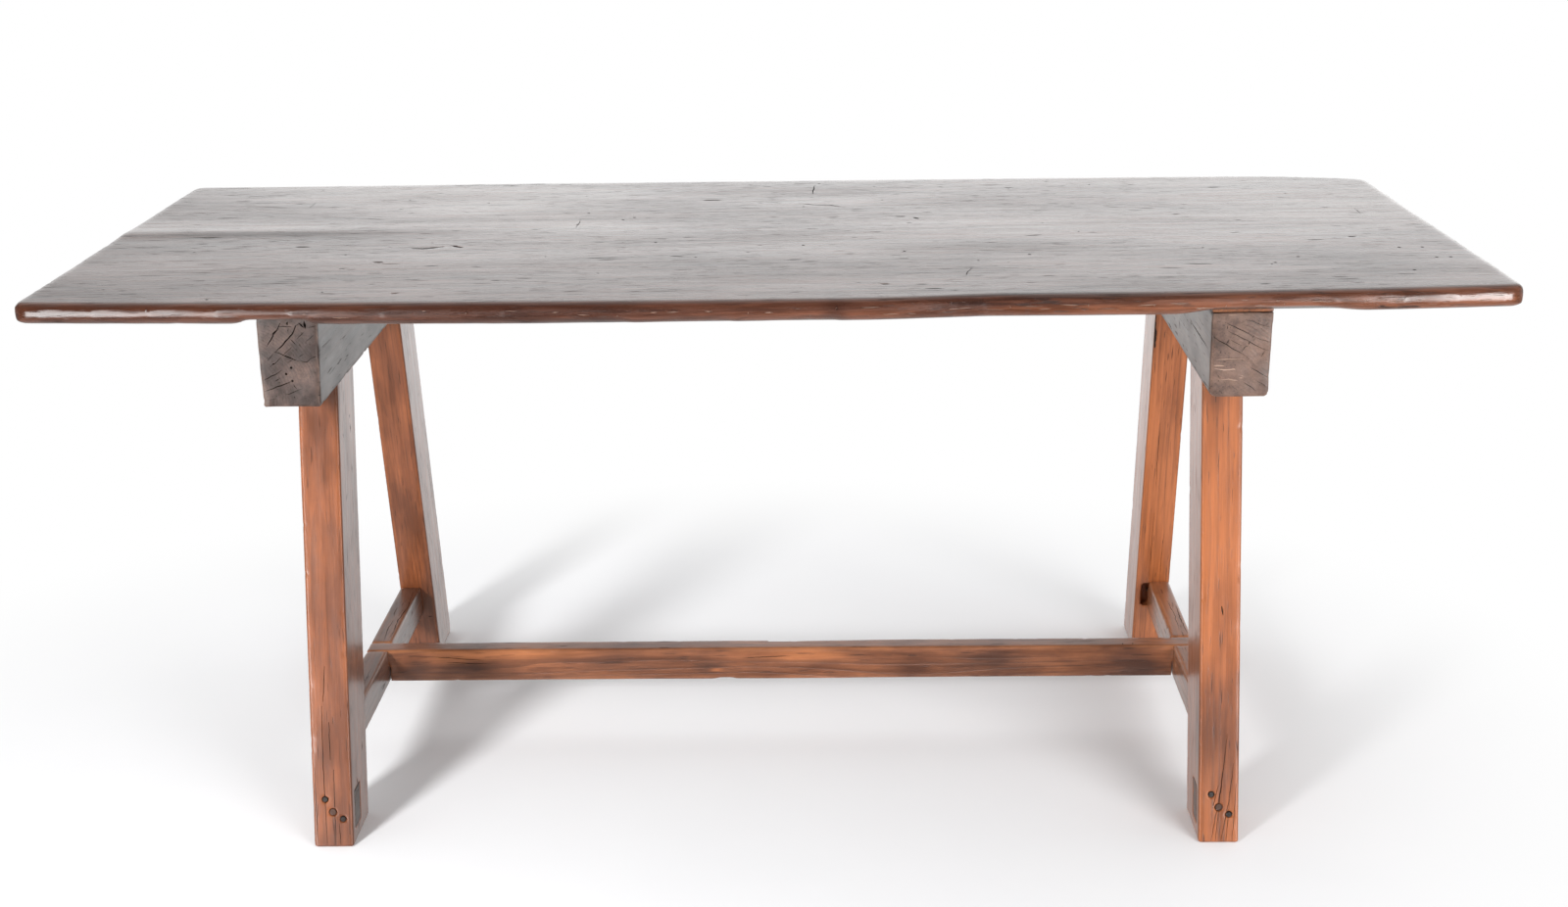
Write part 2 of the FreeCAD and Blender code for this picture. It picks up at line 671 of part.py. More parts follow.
for trestle in (LEFT, RIGHT):
    trestle_pegs(
        trestle,
        "leg",
        "Size.leg_peg_diameter",
        "Size.leg_peg_length",
        "Place.leg_peg_outer",
        "Place.leg_peg_reach",
        "Place.leg_peg_height",
    )
    trestle_pegs(
        trestle,
        "stretcher",
        "Size.cross_peg_diameter",
        "Size.cross_peg_length",
        "Place.cross_peg_outer",
        "Place.cross_peg_reach",
        "Place.cross_middle",
    )

# The stretchers


def cross_stretcher(side):
    label = SIDE_NAMES[side] + "_cross_stretcher"
    body = new_body(label)
    stand(body, f"{side} * (Place.trestle_place + Place.cross_centre)", "Size.base_setback")
    inner_face = "Size.foot_reach - Size.leg_depth - Place.leg_slope"
    side_view = [
        (f"{end} * ({inner_face} * {level})", level)
        for end, level in (
            (FRONT, "Size.cross_underside"),
            (BACK, "Size.cross_underside"),
            (BACK, "Place.cross_top"),
            (FRONT, "Place.cross_top"),
        )
    ]
    sketch = outline(body, label + "_outline", "YZ_Plane", side_view)
    pad(body, label + "_blank", sketch, "Size.cross_width")
    long_enough = value("Place.cross_shoulder")
    round_edges(
        body,
        label + "_edges",
        "Size.stretcher_edge_round",
        lambda e: e.BoundBox.YLength > long_enough,
    )
    tenon = body.newObject("PartDesign::AdditiveBox", label + "_tenons")
    bind(
        tenon,
        Length="Size.cross_tenon_thickness",
        Width="2 * Place.cross_tenon_reach",
        Height="Size.cross_tenon_height",
    )
    low = "Place.cross_middle - Size.cross_tenon_height / 2"
    stand(tenon, "-Size.cross_tenon_thickness / 2", "-Place.cross_tenon_reach", low)
    body.Tip = tenon
    gap = "Size.joint_clearance"
    slot = f"Size.long_width + 2 * {gap}"
    place = ("-Size.cross_width", f"Size.long_setback - ({slot}) / 2", "Place.lap_floor")
    box_cut(body, label + "_lap", "2 * Size.cross_width", slot, f"Size.lap_height + {CUT_MARGIN}", place)
    for end in (FRONT, BACK):
        name = f"{label}_{END_NAMES[end]}_peg_bore"
        place = ("-Size.cross_width", f"{end} * Place.cross_peg_reach", "Place.cross_middle")
        length = "2 * Size.cross_width"
        bore(body, name, "Size.cross_peg_diameter", length, ALONG_X, QUARTER_TURN, place)
    place = ("0", "Size.long_setback", "Size.cross_underside")
    bore(body, label + "_lap_bore", "Size.lap_peg_diameter", "Size.cross_height", None, None, place)


for trestle in (LEFT, RIGHT):
    cross_stretcher(trestle)


def long_stretcher():
    label = "long_stretcher"
    body = new_body(label)
    stand(body, "0", "Size.base_setback + Size.long_setback")
    front_view = (
        ("-Place.long_end", "Place.long_underside"),
        ("Place.long_end", "Place.long_underside"),
        ("Place.long_end", "Place.cross_top"),
        ("-Place.long_end", "Place.cross_top"),
    )
    sketch = outline(body, label + "_outline", "XZ_Plane", front_view)
    pad(body, label + "_blank", sketch, "Size.long_width")
    long_enough = value("Place.long_end")
    round_edges(
        body,
        label + "_edges",
        "Size.stretcher_edge_round",
        lambda e: e.BoundBox.XLength > long_enough,
    )
    length = f"Size.cross_width + Size.joint_clearance + {CUT_MARGIN}"
    height = f"Place.lap_floor - Place.long_underside + {CUT_MARGIN}"
    top_of_bore = "Size.cross_underside + Size.lap_peg_recess + Size.lap_peg_length + Size.joint_clearance"
    for side in (LEFT, RIGHT):
        name = f"{label}_{SIDE_NAMES[side]}"
        x = "Place.long_shoulder" if side == RIGHT else f"-Place.long_shoulder - ({length})"
        place = (x, "-Size.long_width", f"Place.long_underside - {CUT_MARGIN}")
        box_cut(body, name + "_lap", length, "2 * Size.long_width", height, place)
        place = (f"{side} * (Place.trestle_place + Place.cross_centre)", "0", "Place.lap_floor")
        depth = f"{top_of_bore} - Place.lap_floor"
        bore(body, name + "_lap_bore", "Size.lap_peg_diameter", depth, None, None, place)


long_stretcher()

peg_group(
    "lap_pegs",
    [
        peg(
            f"{SIDE_NAMES[side]}_lap_peg",
            "Size.lap_peg_diameter",
            "Size.lap_peg_length",
            None,
            None,
            (
                f"{side} * (Place.trestle_place + Place.cross_centre)",
                "Size.long_setback",
                "Size.cross_underside + Size.lap_peg_recess",
            ),
        )
        for side in (LEFT, RIGHT)
    ],
    "0",
    "Size.base_setback",
)

# Old peg stubs, fillers and filled mortises in the front feet


def foot_peg(name, diameter, length, side, offset, height):
    x, y, z = face_place(offset, height, length)
    place = (f"{side} * Place.trestle_place + {x}", y, z)
    return peg(name, diameter, length, ALONG_Y, f"{QUARTER_TURN} - Place.splay", place, ROUND)


stubs = [
    foot_peg(
        f"{SIDE_NAMES[side]}_{row}_stub",
        "Size.foot_peg_diameter",
        "Size.foot_peg_length",
        side,
        offset,
        height,
    )
    for side in (LEFT, RIGHT)
    for row, offset, height in FOOT_STUBS
]
peg_group("foot_peg_stubs", stubs, "0", "Size.base_setback")

fillers = [
    foot_peg(
        SIDE_NAMES[side] + "_filler",
        "Size.filler_diameter",
        "Size.filler_length",
        side,
        "0",
        "Size.filler_height",
    )
    for side in (LEFT, RIGHT)
]
peg_group("foot_fillers", fillers, "0", "Size.base_setback")


def mortise_patch(side):
    label = SIDE_NAMES[side] + "_mortise_patch"
    body = new_body(label)
    depth = "Size.patch_depth - Size.joint_clearance"
    middle = f"Place.trestle_place - (Size.leg_width / 2 - ({depth}) / 2)"
    stand(body, f"{side} * ({middle})", "Size.base_setback")
    side_view = facing(FRONT, patch_outline("Size.joint_clearance"))
    pad(body, label + "_blank", outline(body, label + "_outline", "YZ_Plane", side_view), depth)


for trestle in (LEFT, RIGHT):
    mortise_patch(trestle)

# Every object has to be sound before any file is written

doc.recompute()
for thing in doc.Objects:
    if "Invalid" in thing.State or "Error" in thing.State:
        raise RuntimeError(f"{thing.Label} failed: {thing.State}")
for piece in pieces:
    if piece.Shape.isNull() or not piece.Shape.isValid():
        raise RuntimeError(f"{piece.Label} has no valid shape")

os.makedirs("parts", exist_ok=True)
for piece in pieces:
    piece.Shape.exportStep(f"parts/{piece.Label}.step")
    print(f"{piece.Label}: {len(piece.Shape.Solids)} solids, {piece.Shape.Volume / 1000:.1f} cm3")
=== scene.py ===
import itertools
import json
import math
from collections import namedtuple

import bmesh
import bpy
import numpy as np
from mathutils import Euler, Matrix, Vector

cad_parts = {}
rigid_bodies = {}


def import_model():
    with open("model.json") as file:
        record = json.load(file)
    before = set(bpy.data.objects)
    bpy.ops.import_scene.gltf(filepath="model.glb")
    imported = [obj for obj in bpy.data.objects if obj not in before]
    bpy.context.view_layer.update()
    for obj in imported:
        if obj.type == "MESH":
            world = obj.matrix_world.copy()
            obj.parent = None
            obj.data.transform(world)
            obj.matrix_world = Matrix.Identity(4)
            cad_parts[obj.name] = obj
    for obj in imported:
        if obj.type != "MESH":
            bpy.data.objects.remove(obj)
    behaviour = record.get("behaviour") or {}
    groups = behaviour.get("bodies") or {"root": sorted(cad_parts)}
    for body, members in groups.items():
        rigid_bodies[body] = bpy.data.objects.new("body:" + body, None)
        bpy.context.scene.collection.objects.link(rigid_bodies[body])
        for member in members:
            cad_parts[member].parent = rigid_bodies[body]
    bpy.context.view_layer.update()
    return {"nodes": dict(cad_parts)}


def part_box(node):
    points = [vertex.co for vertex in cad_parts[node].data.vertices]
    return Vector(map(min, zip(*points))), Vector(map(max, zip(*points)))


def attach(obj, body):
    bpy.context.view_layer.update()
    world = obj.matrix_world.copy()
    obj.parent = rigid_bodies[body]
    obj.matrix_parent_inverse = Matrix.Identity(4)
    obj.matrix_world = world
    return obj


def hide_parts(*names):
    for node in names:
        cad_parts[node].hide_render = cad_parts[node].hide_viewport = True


# Trestle dining table of old timber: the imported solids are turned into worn, checked wood.
# Lengths are metres in the frame of the solids: X along the table, Y to the back, Z up.

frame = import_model()
scene = bpy.context.scene

MM = 0.001
WELD = 0.01 * MM
BOARD_VOXEL = 4.6 * MM
TIMBER_VOXEL = 2.4 * MM
FINE_VOXEL = 1.6 * MM
SMALL_VOXEL = 0.9 * MM
FAR = 2.0

for name in list(bpy.data.objects.keys()):
    if name not in frame["nodes"] and not name.startswith("body:"):
        bpy.data.objects.remove(bpy.data.objects[name])


# Smooth noise on points, the same in every run

HASH_STEPS = np.array([127.1, 311.7, 74.7])
HASH_SEED = 19.19
HASH_GAIN = 43758.5453


def lattice(cells, seed):
    """A steady number from 0 to 1 for each whole-numbered cell."""
    mixed = np.sin(cells @ HASH_STEPS + seed * HASH_SEED) * HASH_GAIN
    return mixed - np.floor(mixed)


def smooth_noise(points, seed):
    """Noise from 0 to 1 with about one lump per unit of length."""
    base = np.floor(points)
    part = points - base
    part = part * part * (3 - 2 * part)
    total = np.zeros(len(points))
    for corner in itertools.product((0, 1), repeat=3):
        weight = np.where(np.array(corner), part, 1 - part).prod(axis=1)
        total += weight * lattice(base + np.array(corner), seed)
    return total


def ease(values, low, high):
    """0 below low, 1 above high, and smooth between."""
    part = np.clip((values - low) / (high - low), 0, 1)
    return part * part * (3 - 2 * part)


def between(values, rise, fall):
    """1 between a rising slope and a falling one, and 0 outside them."""
    return ease(values, *rise) * (1 - ease(values, *fall))


# Meshes

def read_vectors(collection, field):
    values = np.zeros(len(collection) * 3, np.float32)
    collection.foreach_get(field, values)
    return values.reshape(-1, 3).astype(float)


def write_attribute(mesh, name, kind, values):
    attribute = mesh.attributes.new(name, kind, "POINT")
    field = "vector" if kind == "FLOAT_VECTOR" else "value"
    attribute.data.foreach_set(field, np.asarray(values, np.float32).ravel())


def set_all(owner, settings):
    for name, value in settings.items():
        setattr(owner, name, value)


def add_modifier(piece, kind, **settings):
    set_all(piece.modifiers.new(kind, kind), settings)


def apply_modifiers(piece):
    graph = bpy.context.evaluated_depsgraph_get()
    mesh = bpy.data.meshes.new_from_object(piece.evaluated_get(graph))
    piece.modifiers.clear()
    piece.data = mesh


def object_from(shape, name):
    """A new object made from a bmesh."""
    mesh = bpy.data.meshes.new(name)
    shape.to_mesh(mesh)
    shape.free()
    piece = bpy.data.objects.new(name, mesh)
    scene.collection.objects.link(piece)
    return piece


def solid_points(node):
    return read_vectors(frame["nodes"][node].data.vertices, "co")


def welded_copy(node, name):
    """A closed copy of a solid's mesh."""
    shape = bmesh.new()
    shape.from_mesh(frame["nodes"][node].data)
    bmesh.ops.remove_doubles(shape, verts=shape.verts, dist=WELD)
    return object_from(shape, name)


def combine(piece, other, operation, crossed=False):
    """Joins another object to a piece, or cuts it out, or keeps what they share, and removes it."""
    add_modifier(
        piece, "BOOLEAN", operation=operation, solver="EXACT", use_self=crossed,
        material_mode="TRANSFER", object=other,
    )
    apply_modifiers(piece)
    bpy.data.objects.remove(other)


def block(middle, reach):
    """A large block that a piece is trimmed to."""
    shape = bmesh.new()
    bmesh.ops.create_cube(shape, size=2 * reach, matrix=Matrix.Translation(middle))
    return object_from(shape, "block")


def even_out(piece, voxel, rubs=0):
    """Turns a piece into an even mesh of small faces, which wear can bend, and rubs it smooth."""
    add_modifier(piece, "REMESH", mode="VOXEL", voxel_size=voxel)
    if rubs:
        add_modifier(piece, "SMOOTH", iterations=rubs)
    apply_modifiers(piece)
    piece.data.materials.clear()


def proudness(mesh, points, normals, blurs=3):
    """How far each point stands proud of its neighbours: 0 on a flat face, more on an arris."""
    ends = np.zeros(len(mesh.edges) * 2, np.int32)
    mesh.edges.foreach_get("vertices", ends)
    first, second = ends.reshape(-1, 2).T
    count = np.bincount(ends, minlength=len(points)).clip(1)

    def mean_around(values):
        total = np.bincount(first, values[second], len(points))
        total += np.bincount(second, values[first], len(points))
        return total / count

    around = np.stack([mean_around(points[:, axis]) for axis in range(3)], axis=1)
    proud = ((points - around) * normals).sum(axis=1)
    for _ in range(blurs):
        proud = 0.5 * proud + 0.5 * mean_around(proud)
    return proud


# Grain: each timber has its own axes, along the grain first

def axes_along(direction, across):
    along = Vector(direction).normalized()
    third = along.cross(Vector(across)).normalized()
    return np.array([along, third.cross(along), third])


ALONG_X = axes_along((1, 0, 0), (0, 1, 0))
ALONG_Y = axes_along((0, 1, 0), (1, 0, 0))
SHOULDER_SLACK = 1.5 * MM


def leg_direction(node):
    """From the foot of a leg to its shoulders, read from the solid."""
    points = solid_points(node)
    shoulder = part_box("left_beam")[0].z
    foot = points[points[:, 2] < MM]
    head = points[np.abs(points[:, 2] - shoulder) < SHOULDER_SLACK]
    low, high = [(group.min(axis=0) + group.max(axis=0)) / 2 for group in (foot, head)]
    return Vector((0, high[1] - low[1], high[2] - low[2])).normalized()


# Cracks and worm holes: thin wedges and pins that are cut out of a timber

CUTTER_CLEAR = 2 * MM
CRACK_STEP = 6 * MM
CRACK_TIP = 0.06
CRACK_SWELL = 0.7
HOLE_DEPTH = 6 * MM
HOLE_SIDES = 10
HOLE_TAPER = 0.8


def wander(ends, sway, draw):
    """Points along a line of given points, which stray sideways a little."""
    path = []
    for start, end in zip(ends, ends[1:]):
        count = max(2, round((end - start).length / CRACK_STEP))
        path += [start.lerp(end, k / count) for k in range(count)]
    path.append(ends[-1])
    strays = draw.normal(0, sway, (len(path), 3))
    strays[0] = strays[-1] = 0
    return [point + Vector(stray) for point, stray in zip(path, strays)]


def add_crack(shape, path, out, width, depth):
    """Adds a wedge along a path: widest in its middle, pointed at both ends, sharp at the bottom."""
    out = Vector(out).normalized()
    rings = []
    for k, point in enumerate(path):
        ahead = path[min(k + 1, len(path) - 1)] - path[max(k - 1, 0)]
        side = ahead.cross(out).normalized()
        swell = max(CRACK_TIP, math.sin(math.pi * k / (len(path) - 1))) ** CRACK_SWELL
        deep = depth * swell
        half = width / 2 * swell * (deep + CUTTER_CLEAR) / deep
        rings.append([
            shape.verts.new(point + out * CUTTER_CLEAR + side * half),
            shape.verts.new(point + out * CUTTER_CLEAR - side * half),
            shape.verts.new(point - out * deep),
        ])
    for one, two in zip(rings, rings[1:]):
        for a, b in ((0, 1), (1, 2), (2, 0)):
            shape.faces.new((one[a], one[b], two[b], two[a]))
    shape.faces.new(rings[0][::-1])
    shape.faces.new(rings[-1])


def add_hole(shape, point, out, diameter):
    """Adds a round worm hole, narrower at the bottom."""
    out = Vector(out).normalized()
    turn = out.to_track_quat("Z", "Y").to_matrix().to_4x4()
    middle = Vector(point) + out * (CUTTER_CLEAR - HOLE_DEPTH) / 2
    radius = diameter / 2
    bmesh.ops.create_cone(
        shape, cap_ends=True, segments=HOLE_SIDES, radius1=radius * HOLE_TAPER, radius2=radius,
        depth=CUTTER_CLEAR + HOLE_DEPTH, matrix=Matrix.Translation(middle) @ turn,
    )


class Face:
    """A flat face of a timber, with places on it given in millimetres right and up from a corner."""

    def __init__(self, corner, right, up):
        self.corner = Vector(corner)
        self.right = Vector(right).normalized()
        self.up = Vector(up).normalized()
        self.out = self.right.cross(self.up)

    def at(self, right, up):
        return self.corner + self.right * right * MM + self.up * up * MM

    def crack(self, shape, draw, places, width, depth, sway=0.25):
        path = wander([self.at(*place) for place in places], sway * MM, draw)
        add_crack(shape, path, self.out, width * MM, depth * MM)

    def cracks(self, shape, draw, rows, depth, sway=0.25):
        """Adds cracks of one depth, each given by its width and its places."""
        for width, *places in rows:
            self.crack(shape, draw, places, width, depth, sway)

    def alike(self, shape, draw, rows, width, depth, sway=0.25):
        """Adds cracks of one width and depth, each given by its places."""
        for places in rows:
            self.crack(shape, draw, places, width, depth, sway)

    def hole(self, shape, place, diameter):
        add_hole(shape, self.at(*place), self.out, diameter * MM)


def cut_marks(piece, draw, marks, material):
    """Cuts marks, which a function adds to an empty shape, out of a piece."""
    shape = bmesh.new()
    marks(shape, draw)
    bmesh.ops.recalc_face_normals(shape, faces=shape.faces)
    cutter = object_from(shape, "cutter")
    combine(cutter, block((0, 0, 0), FAR), "INTERSECT", crossed=True)
    cutter.data.materials.clear()
    cutter.data.materials.append(material)
    combine(piece, cutter, "DIFFERENCE")


# Nodes

class Tree:
    """A short way to add nodes to a material or the world."""

    def __init__(self, owner):
        owner.use_nodes = True
        self.tree = owner.node_tree
        self.tree.nodes.clear()

    def add(self, kind, inputs=None, **settings):
        node = self.tree.nodes.new("ShaderNode" + kind)
        set_all(node, settings)
        for name, value in (inputs or {}).items():
            self.set(node.inputs[name], value)
        return node

    def set(self, socket, value):
        if isinstance(value, bpy.types.NodeSocket):
            self.tree.links.new(value, socket)
        elif socket.type == "RGBA":
            socket.default_value = (*value, 1)
        else:
            socket.default_value = value

    def attribute(self, name):
        return self.add("Attribute", attribute_name=name, attribute_type="GEOMETRY").outputs

    def math(self, operation, first, second=0.0, clamp=False):
        return self.add("Math", {0: first, 1: second}, operation=operation, use_clamp=clamp).outputs[0]

    def product(self, first, *others):
        for other in others:
            first = self.math("MULTIPLY", first, other)
        return first

    def weigh(self, *pairs):
        """The sum of values, each times its weight."""
        total = 0.0
        for value, weight in pairs:
            node = self.add("Math", {0: value, 1: weight, 2: total}, operation="MULTIPLY_ADD")
            total = node.outputs[0]
        return total

    def span(self, value, low, high, to_low=0.0, to_high=1.0):
        """A value between two limits, moved smoothly to two others."""
        sockets = {"Value": value, 1: low, 2: high, 3: to_low, 4: to_high}
        return self.add("MapRange", sockets, interpolation_type="SMOOTHSTEP").outputs[0]

    def mix(self, factor, first, second):
        return self.add("Mix", {0: factor, 6: first, 7: second}, data_type="RGBA").outputs[2]

    def noise(self, vector, lumps, detail=2.0, roughness=0.5, distortion=0.0):
        """Noise with so many lumps per metre along the grain and across it."""
        along, across = lumps
        scaled = self.add("Mapping", {"Vector": vector, "Scale": (along, across, across)})
        inputs = {
            "Vector": scaled.outputs[0], "Scale": 1.0, "Detail": detail,
            "Roughness": roughness, "Distortion": distortion,
        }
        return self.add("TexNoise", inputs).outputs["Fac"]

    def finish(self, surface, kind="OutputMaterial"):
        self.set(self.add(kind).inputs["Surface"], surface.outputs[0])


# Wood: patterns have lumps per metre along the grain and across it, and a ramp runs from dark to light

# Relief is the height of fibre, streaks, pores and rings
COMMON = {
    "patches": (9.0, 24.0), "streaks": (7.0, 110.0), "fibre": (14.0, 640.0),
    "pores": (26.0, 330.0), "rings": 150.0, "ring_bend": 7.0,
    "patch_share": 0.68, "streak_share": 0.32, "ring_share": 0.6, "ring_colour": (0.085, 0.032, 0.017),
    "fibre_dark": 0.7, "pore_from": 0.66, "pore_edge": 0.06, "pore_share": 0.7,
    "pore_colour": (0.04, 0.017, 0.011), "roughness": (0.28, 0.44), "coat": (0.65, 1.0),
    "coat_roughness": 0.2, "coat_ior": 1.55, "bump": 0.35, "bump_depth": 0.5 * MM,
    "relief": (0.5, 0.6, -0.6, -0.4), "wear_share": 0.4, "worn_coat": 0.25,
    "stain_and_shade": (0.04, 0.02, 0.015), "glow": (0.4, 0.2, 0.1),
}

LOOKS = {
    "top_board": {
        "ramp": ((0.020, 0.007, 0.005), (0.072, 0.025, 0.014), (0.16, 0.057, 0.030)),
        "stain_and_shade": (0.030, 0.010, 0.006), "glow": (0.36, 0.115, 0.042), "worn": (0.18, 0.062, 0.030),
        "ring_colour": (0.018, 0.008, 0.006),
        "patches": (2.6, 9.0), "streaks": (11.0, 180.0), "fibre": (24.0, 520.0),
        "patch_share": 0.45, "streak_share": 0.55,
        "pores": (24.0, 330.0), "pore_from": 0.655, "pore_share": 0.85,
        "pore_colour": (0.022, 0.009, 0.006), "rings": 60.0, "ring_bend": 9.0,
        "roughness": (0.2, 0.34), "coat": (0.55, 1.0), "coat_roughness": 0.13,
        "bump": 0.4, "bump_depth": 0.6 * MM, "relief": (0.4, 0.25, -0.8, -0.15), "wear_share": 0.2,
        "pore_edge": 0.03, "worn_coat": 1.0,
    },
    "beam": {
        "ramp": ((0.036, 0.022, 0.018), (0.090, 0.054, 0.042), (0.18, 0.108, 0.082)),
        "stain_and_shade": (0.018, 0.012, 0.011), "glow": (0.26, 0.14, 0.09), "worn": (0.22, 0.14, 0.105),
        "ring_colour": (0.030, 0.019, 0.016), "rings": 240.0, "ring_bend": 4.0, "ring_share": 0.4,
        "pore_colour": (0.022, 0.014, 0.012), "roughness": (0.36, 0.55), "coat": (0.3, 0.7),
        "coat_roughness": 0.3, "bump": 0.7, "fibre_dark": 0.6,
    },
    "leg": {
        "ramp": ((0.145, 0.046, 0.020), (0.25, 0.077, 0.028), (0.37, 0.117, 0.040)),
        "stain_and_shade": (0.080, 0.027, 0.011), "glow": (0.52, 0.158, 0.046), "worn": (0.36, 0.13, 0.05),
        "ring_share": 0.5, "wear_share": 0.15,
    },
    "stretcher": {
        "ramp": ((0.080, 0.030, 0.017), (0.185, 0.067, 0.031), (0.34, 0.122, 0.049)),
        "stain_and_shade": (0.042, 0.022, 0.016), "glow": (0.55, 0.19, 0.062), "worn": (0.34, 0.145, 0.065),
        "worn_coat": 0.6,
    },
    "packing": {
        "ramp": ((0.13, 0.045, 0.021), (0.27, 0.09, 0.035), (0.42, 0.15, 0.052)),
        "worn": (0.42, 0.18, 0.08),
    },
    "patch": {
        "ramp": ((0.035, 0.026, 0.022), (0.085, 0.066, 0.058), (0.15, 0.115, 0.10)),
        "glow": (0.27, 0.10, 0.045), "worn": (0.18, 0.14, 0.12),
        "roughness": (0.5, 0.7), "coat": (0.1, 0.3),
    },
    "stub": {
        "ramp": ((0.010, 0.008, 0.008), (0.022, 0.019, 0.018), (0.045, 0.038, 0.036)),
        "worn": (0.05, 0.042, 0.038),
        "ring_colour": (0.01, 0.008, 0.007), "roughness": (0.5, 0.7), "coat": (0.0, 0.2),
    },
    "filler": {
        "ramp": ((0.036, 0.019, 0.015), (0.06, 0.032, 0.024), (0.09, 0.05, 0.038)),
        "worn": (0.10, 0.06, 0.05),
        "roughness": (0.55, 0.75), "coat": (0.0, 0.2),
    },
    "peg": {
        "ramp": ((0.06, 0.026, 0.014), (0.13, 0.055, 0.028), (0.22, 0.10, 0.05)),
        "worn": (0.26, 0.11, 0.055),
    },
    "dowel": {
        "ramp": ((0.36, 0.22, 0.11), (0.52, 0.34, 0.19), (0.64, 0.45, 0.27)),
        "roughness": (0.55, 0.7), "coat": (0.0, 0.1), "ring_colour": (0.30, 0.17, 0.08),
        "pore_colour": (0.22, 0.12, 0.06),
    },
    "sawn": {
        "ramp": ((0.30, 0.20, 0.15), (0.42, 0.30, 0.24), (0.55, 0.42, 0.35)),
        "roughness": (0.6, 0.8), "coat": (0.0, 0.1),
    },
    "crack": {
        "ramp": ((0.006, 0.004, 0.003), (0.012, 0.008, 0.006), (0.025, 0.016, 0.012)),
        "roughness": (0.8, 0.95), "coat": (0.0, 0.05), "pore_colour": (0.004, 0.003, 0.002),
        "ring_colour": (0.005, 0.003, 0.002),
    },
}
PLAIN_COORDINATES = ("dowel", "sawn", "crack")

# How a pattern reads its noise: from a low and a high limit, to two values

RAMP_STOPS = (0.34, 0.5, 0.68)
RING_BENDS = (1.3, 12.0)
RING_FADES = (3.0, 30.0)
RING_FADING = (0.36, 0.62, 0.1, 1.0)
LATE_WOOD = (0.5, 0.97)
FIBRE_SPAN = (0.3, 0.6)
PORE_THINNING = (0.42, 0.62, 1.0, 0.35)
PORE_ROUGHNESS = 0.3
ROUGHNESS_SPAN = (0.3, 0.7)
COAT_SPAN = (0.35, 0.6)
COAT_IN_PORES = (0.0, 1.0, 1.0, 0.3)
COAT_ON_STAINS_AND_SHADE = (-0.9, -0.3, 0.25, 1.0)
WORN_SPAN = (0.1, 0.6)
STAIN_AND_SHADE_BY_STREAK = (0.3, 0.65, 0.72, 0.32)
GLOW_BY_STREAK = (0.35, 0.7, 0.3, 0.75)
RUB_SPAN = (0.35, 0.65)
LEAST_RUB = 0.05
TONE_SHARE = 0.2
WOOD_IOR = 1.5


def growth_rings(tree, grain, look):
    """Dark lines of late wood round the heart of the tree, which come and go along the grain."""
    section = tree.add("Mapping", {"Vector": grain, "Scale": (0.0, 1.0, 1.0)}).outputs[0]
    radius = tree.add("VectorMath", {0: section}, operation="LENGTH").outputs["Value"]
    bent = tree.noise(grain, RING_BENDS)
    year = tree.math("FRACT", tree.weigh((radius, look["rings"]), (bent, look["ring_bend"])))
    fading = tree.span(tree.noise(grain, RING_FADES, detail=1.0), *RING_FADING)
    return tree.product(tree.span(year, *LATE_WOOD), fading)


def wood_layers(tree, grain, look):
    """The layers of a pattern: broad patches, streaks, fibre, pores and growth rings."""
    patches = tree.noise(grain, look["patches"], detail=4.0, roughness=0.6)
    streaks = tree.noise(grain, look["streaks"], detail=3.0, roughness=0.6, distortion=0.4)
    fibre = tree.noise(grain, look["fibre"], roughness=0.7)
    pore = tree.noise(grain, look["pores"], detail=1.0)
    pore = tree.span(pore, look["pore_from"], look["pore_from"] + look["pore_edge"])
    pore = tree.product(pore, tree.span(patches, *PORE_THINNING))
    return patches, streaks, fibre, pore, growth_rings(tree, grain, look)


def colour_ramp(tree, factor, colours):
    ramp = tree.add("ValToRGB", {"Fac": factor})
    stops = ramp.color_ramp.elements
    dark, mid, light = [(*colour, 1) for colour in colours]
    stops[0].position, stops[0].color = RAMP_STOPS[0], dark
    stops[1].position, stops[1].color = RAMP_STOPS[2], light
    stops.new(RAMP_STOPS[1]).color = mid
    return ramp.outputs[0]


def wood_colour(tree, look, layers, tone):
    """Dark to light wood, with darker rings, fibre and pores, and with stains, painted shade and glow
    where it has a tone.
    """
    patches, streaks, fibre, pore, rings = layers
    shares = [(patches, look["patch_share"]), (streaks, look["streak_share"])]
    if tone is not None:
        shares.append((tone, TONE_SHARE))
    colour = colour_ramp(tree, tree.weigh(*shares), look["ramp"])
    colour = tree.mix(tree.product(rings, look["ring_share"]), colour, look["ring_colour"])
    fibre_light = tree.span(fibre, *FIBRE_SPAN, look["fibre_dark"], 1.0)
    colour = tree.mix(fibre_light, look["pore_colour"], colour)
    if tone is not None:
        colour = aged_and_painted_shade(tree, look, colour, tone, streaks, patches)
    return tree.mix(tree.product(pore, look["pore_share"]), colour, look["pore_colour"])


def wood_gloss(tree, look, layers, tone):
    """Roughness and varnish, which is thin in pores, on stains and painted shade, and on worn arrises."""
    patches, streaks, _, pore, _ = layers
    rough = tree.span(streaks, *ROUGHNESS_SPAN, *look["roughness"])
    rough = tree.math("ADD", rough, tree.product(pore, PORE_ROUGHNESS), clamp=True)
    coat = tree.span(tree.weigh((patches, 0.5), (streaks, 0.5)), *COAT_SPAN, *look["coat"])
    coat = tree.product(coat, tree.span(pore, *COAT_IN_PORES))
    if tone is not None:
        worn = tree.span(tree.attribute("wear")["Fac"], *WORN_SPAN, 1.0, look["worn_coat"])
        coat = tree.product(coat, tree.span(tone, *COAT_ON_STAINS_AND_SHADE), worn)
    return rough, coat


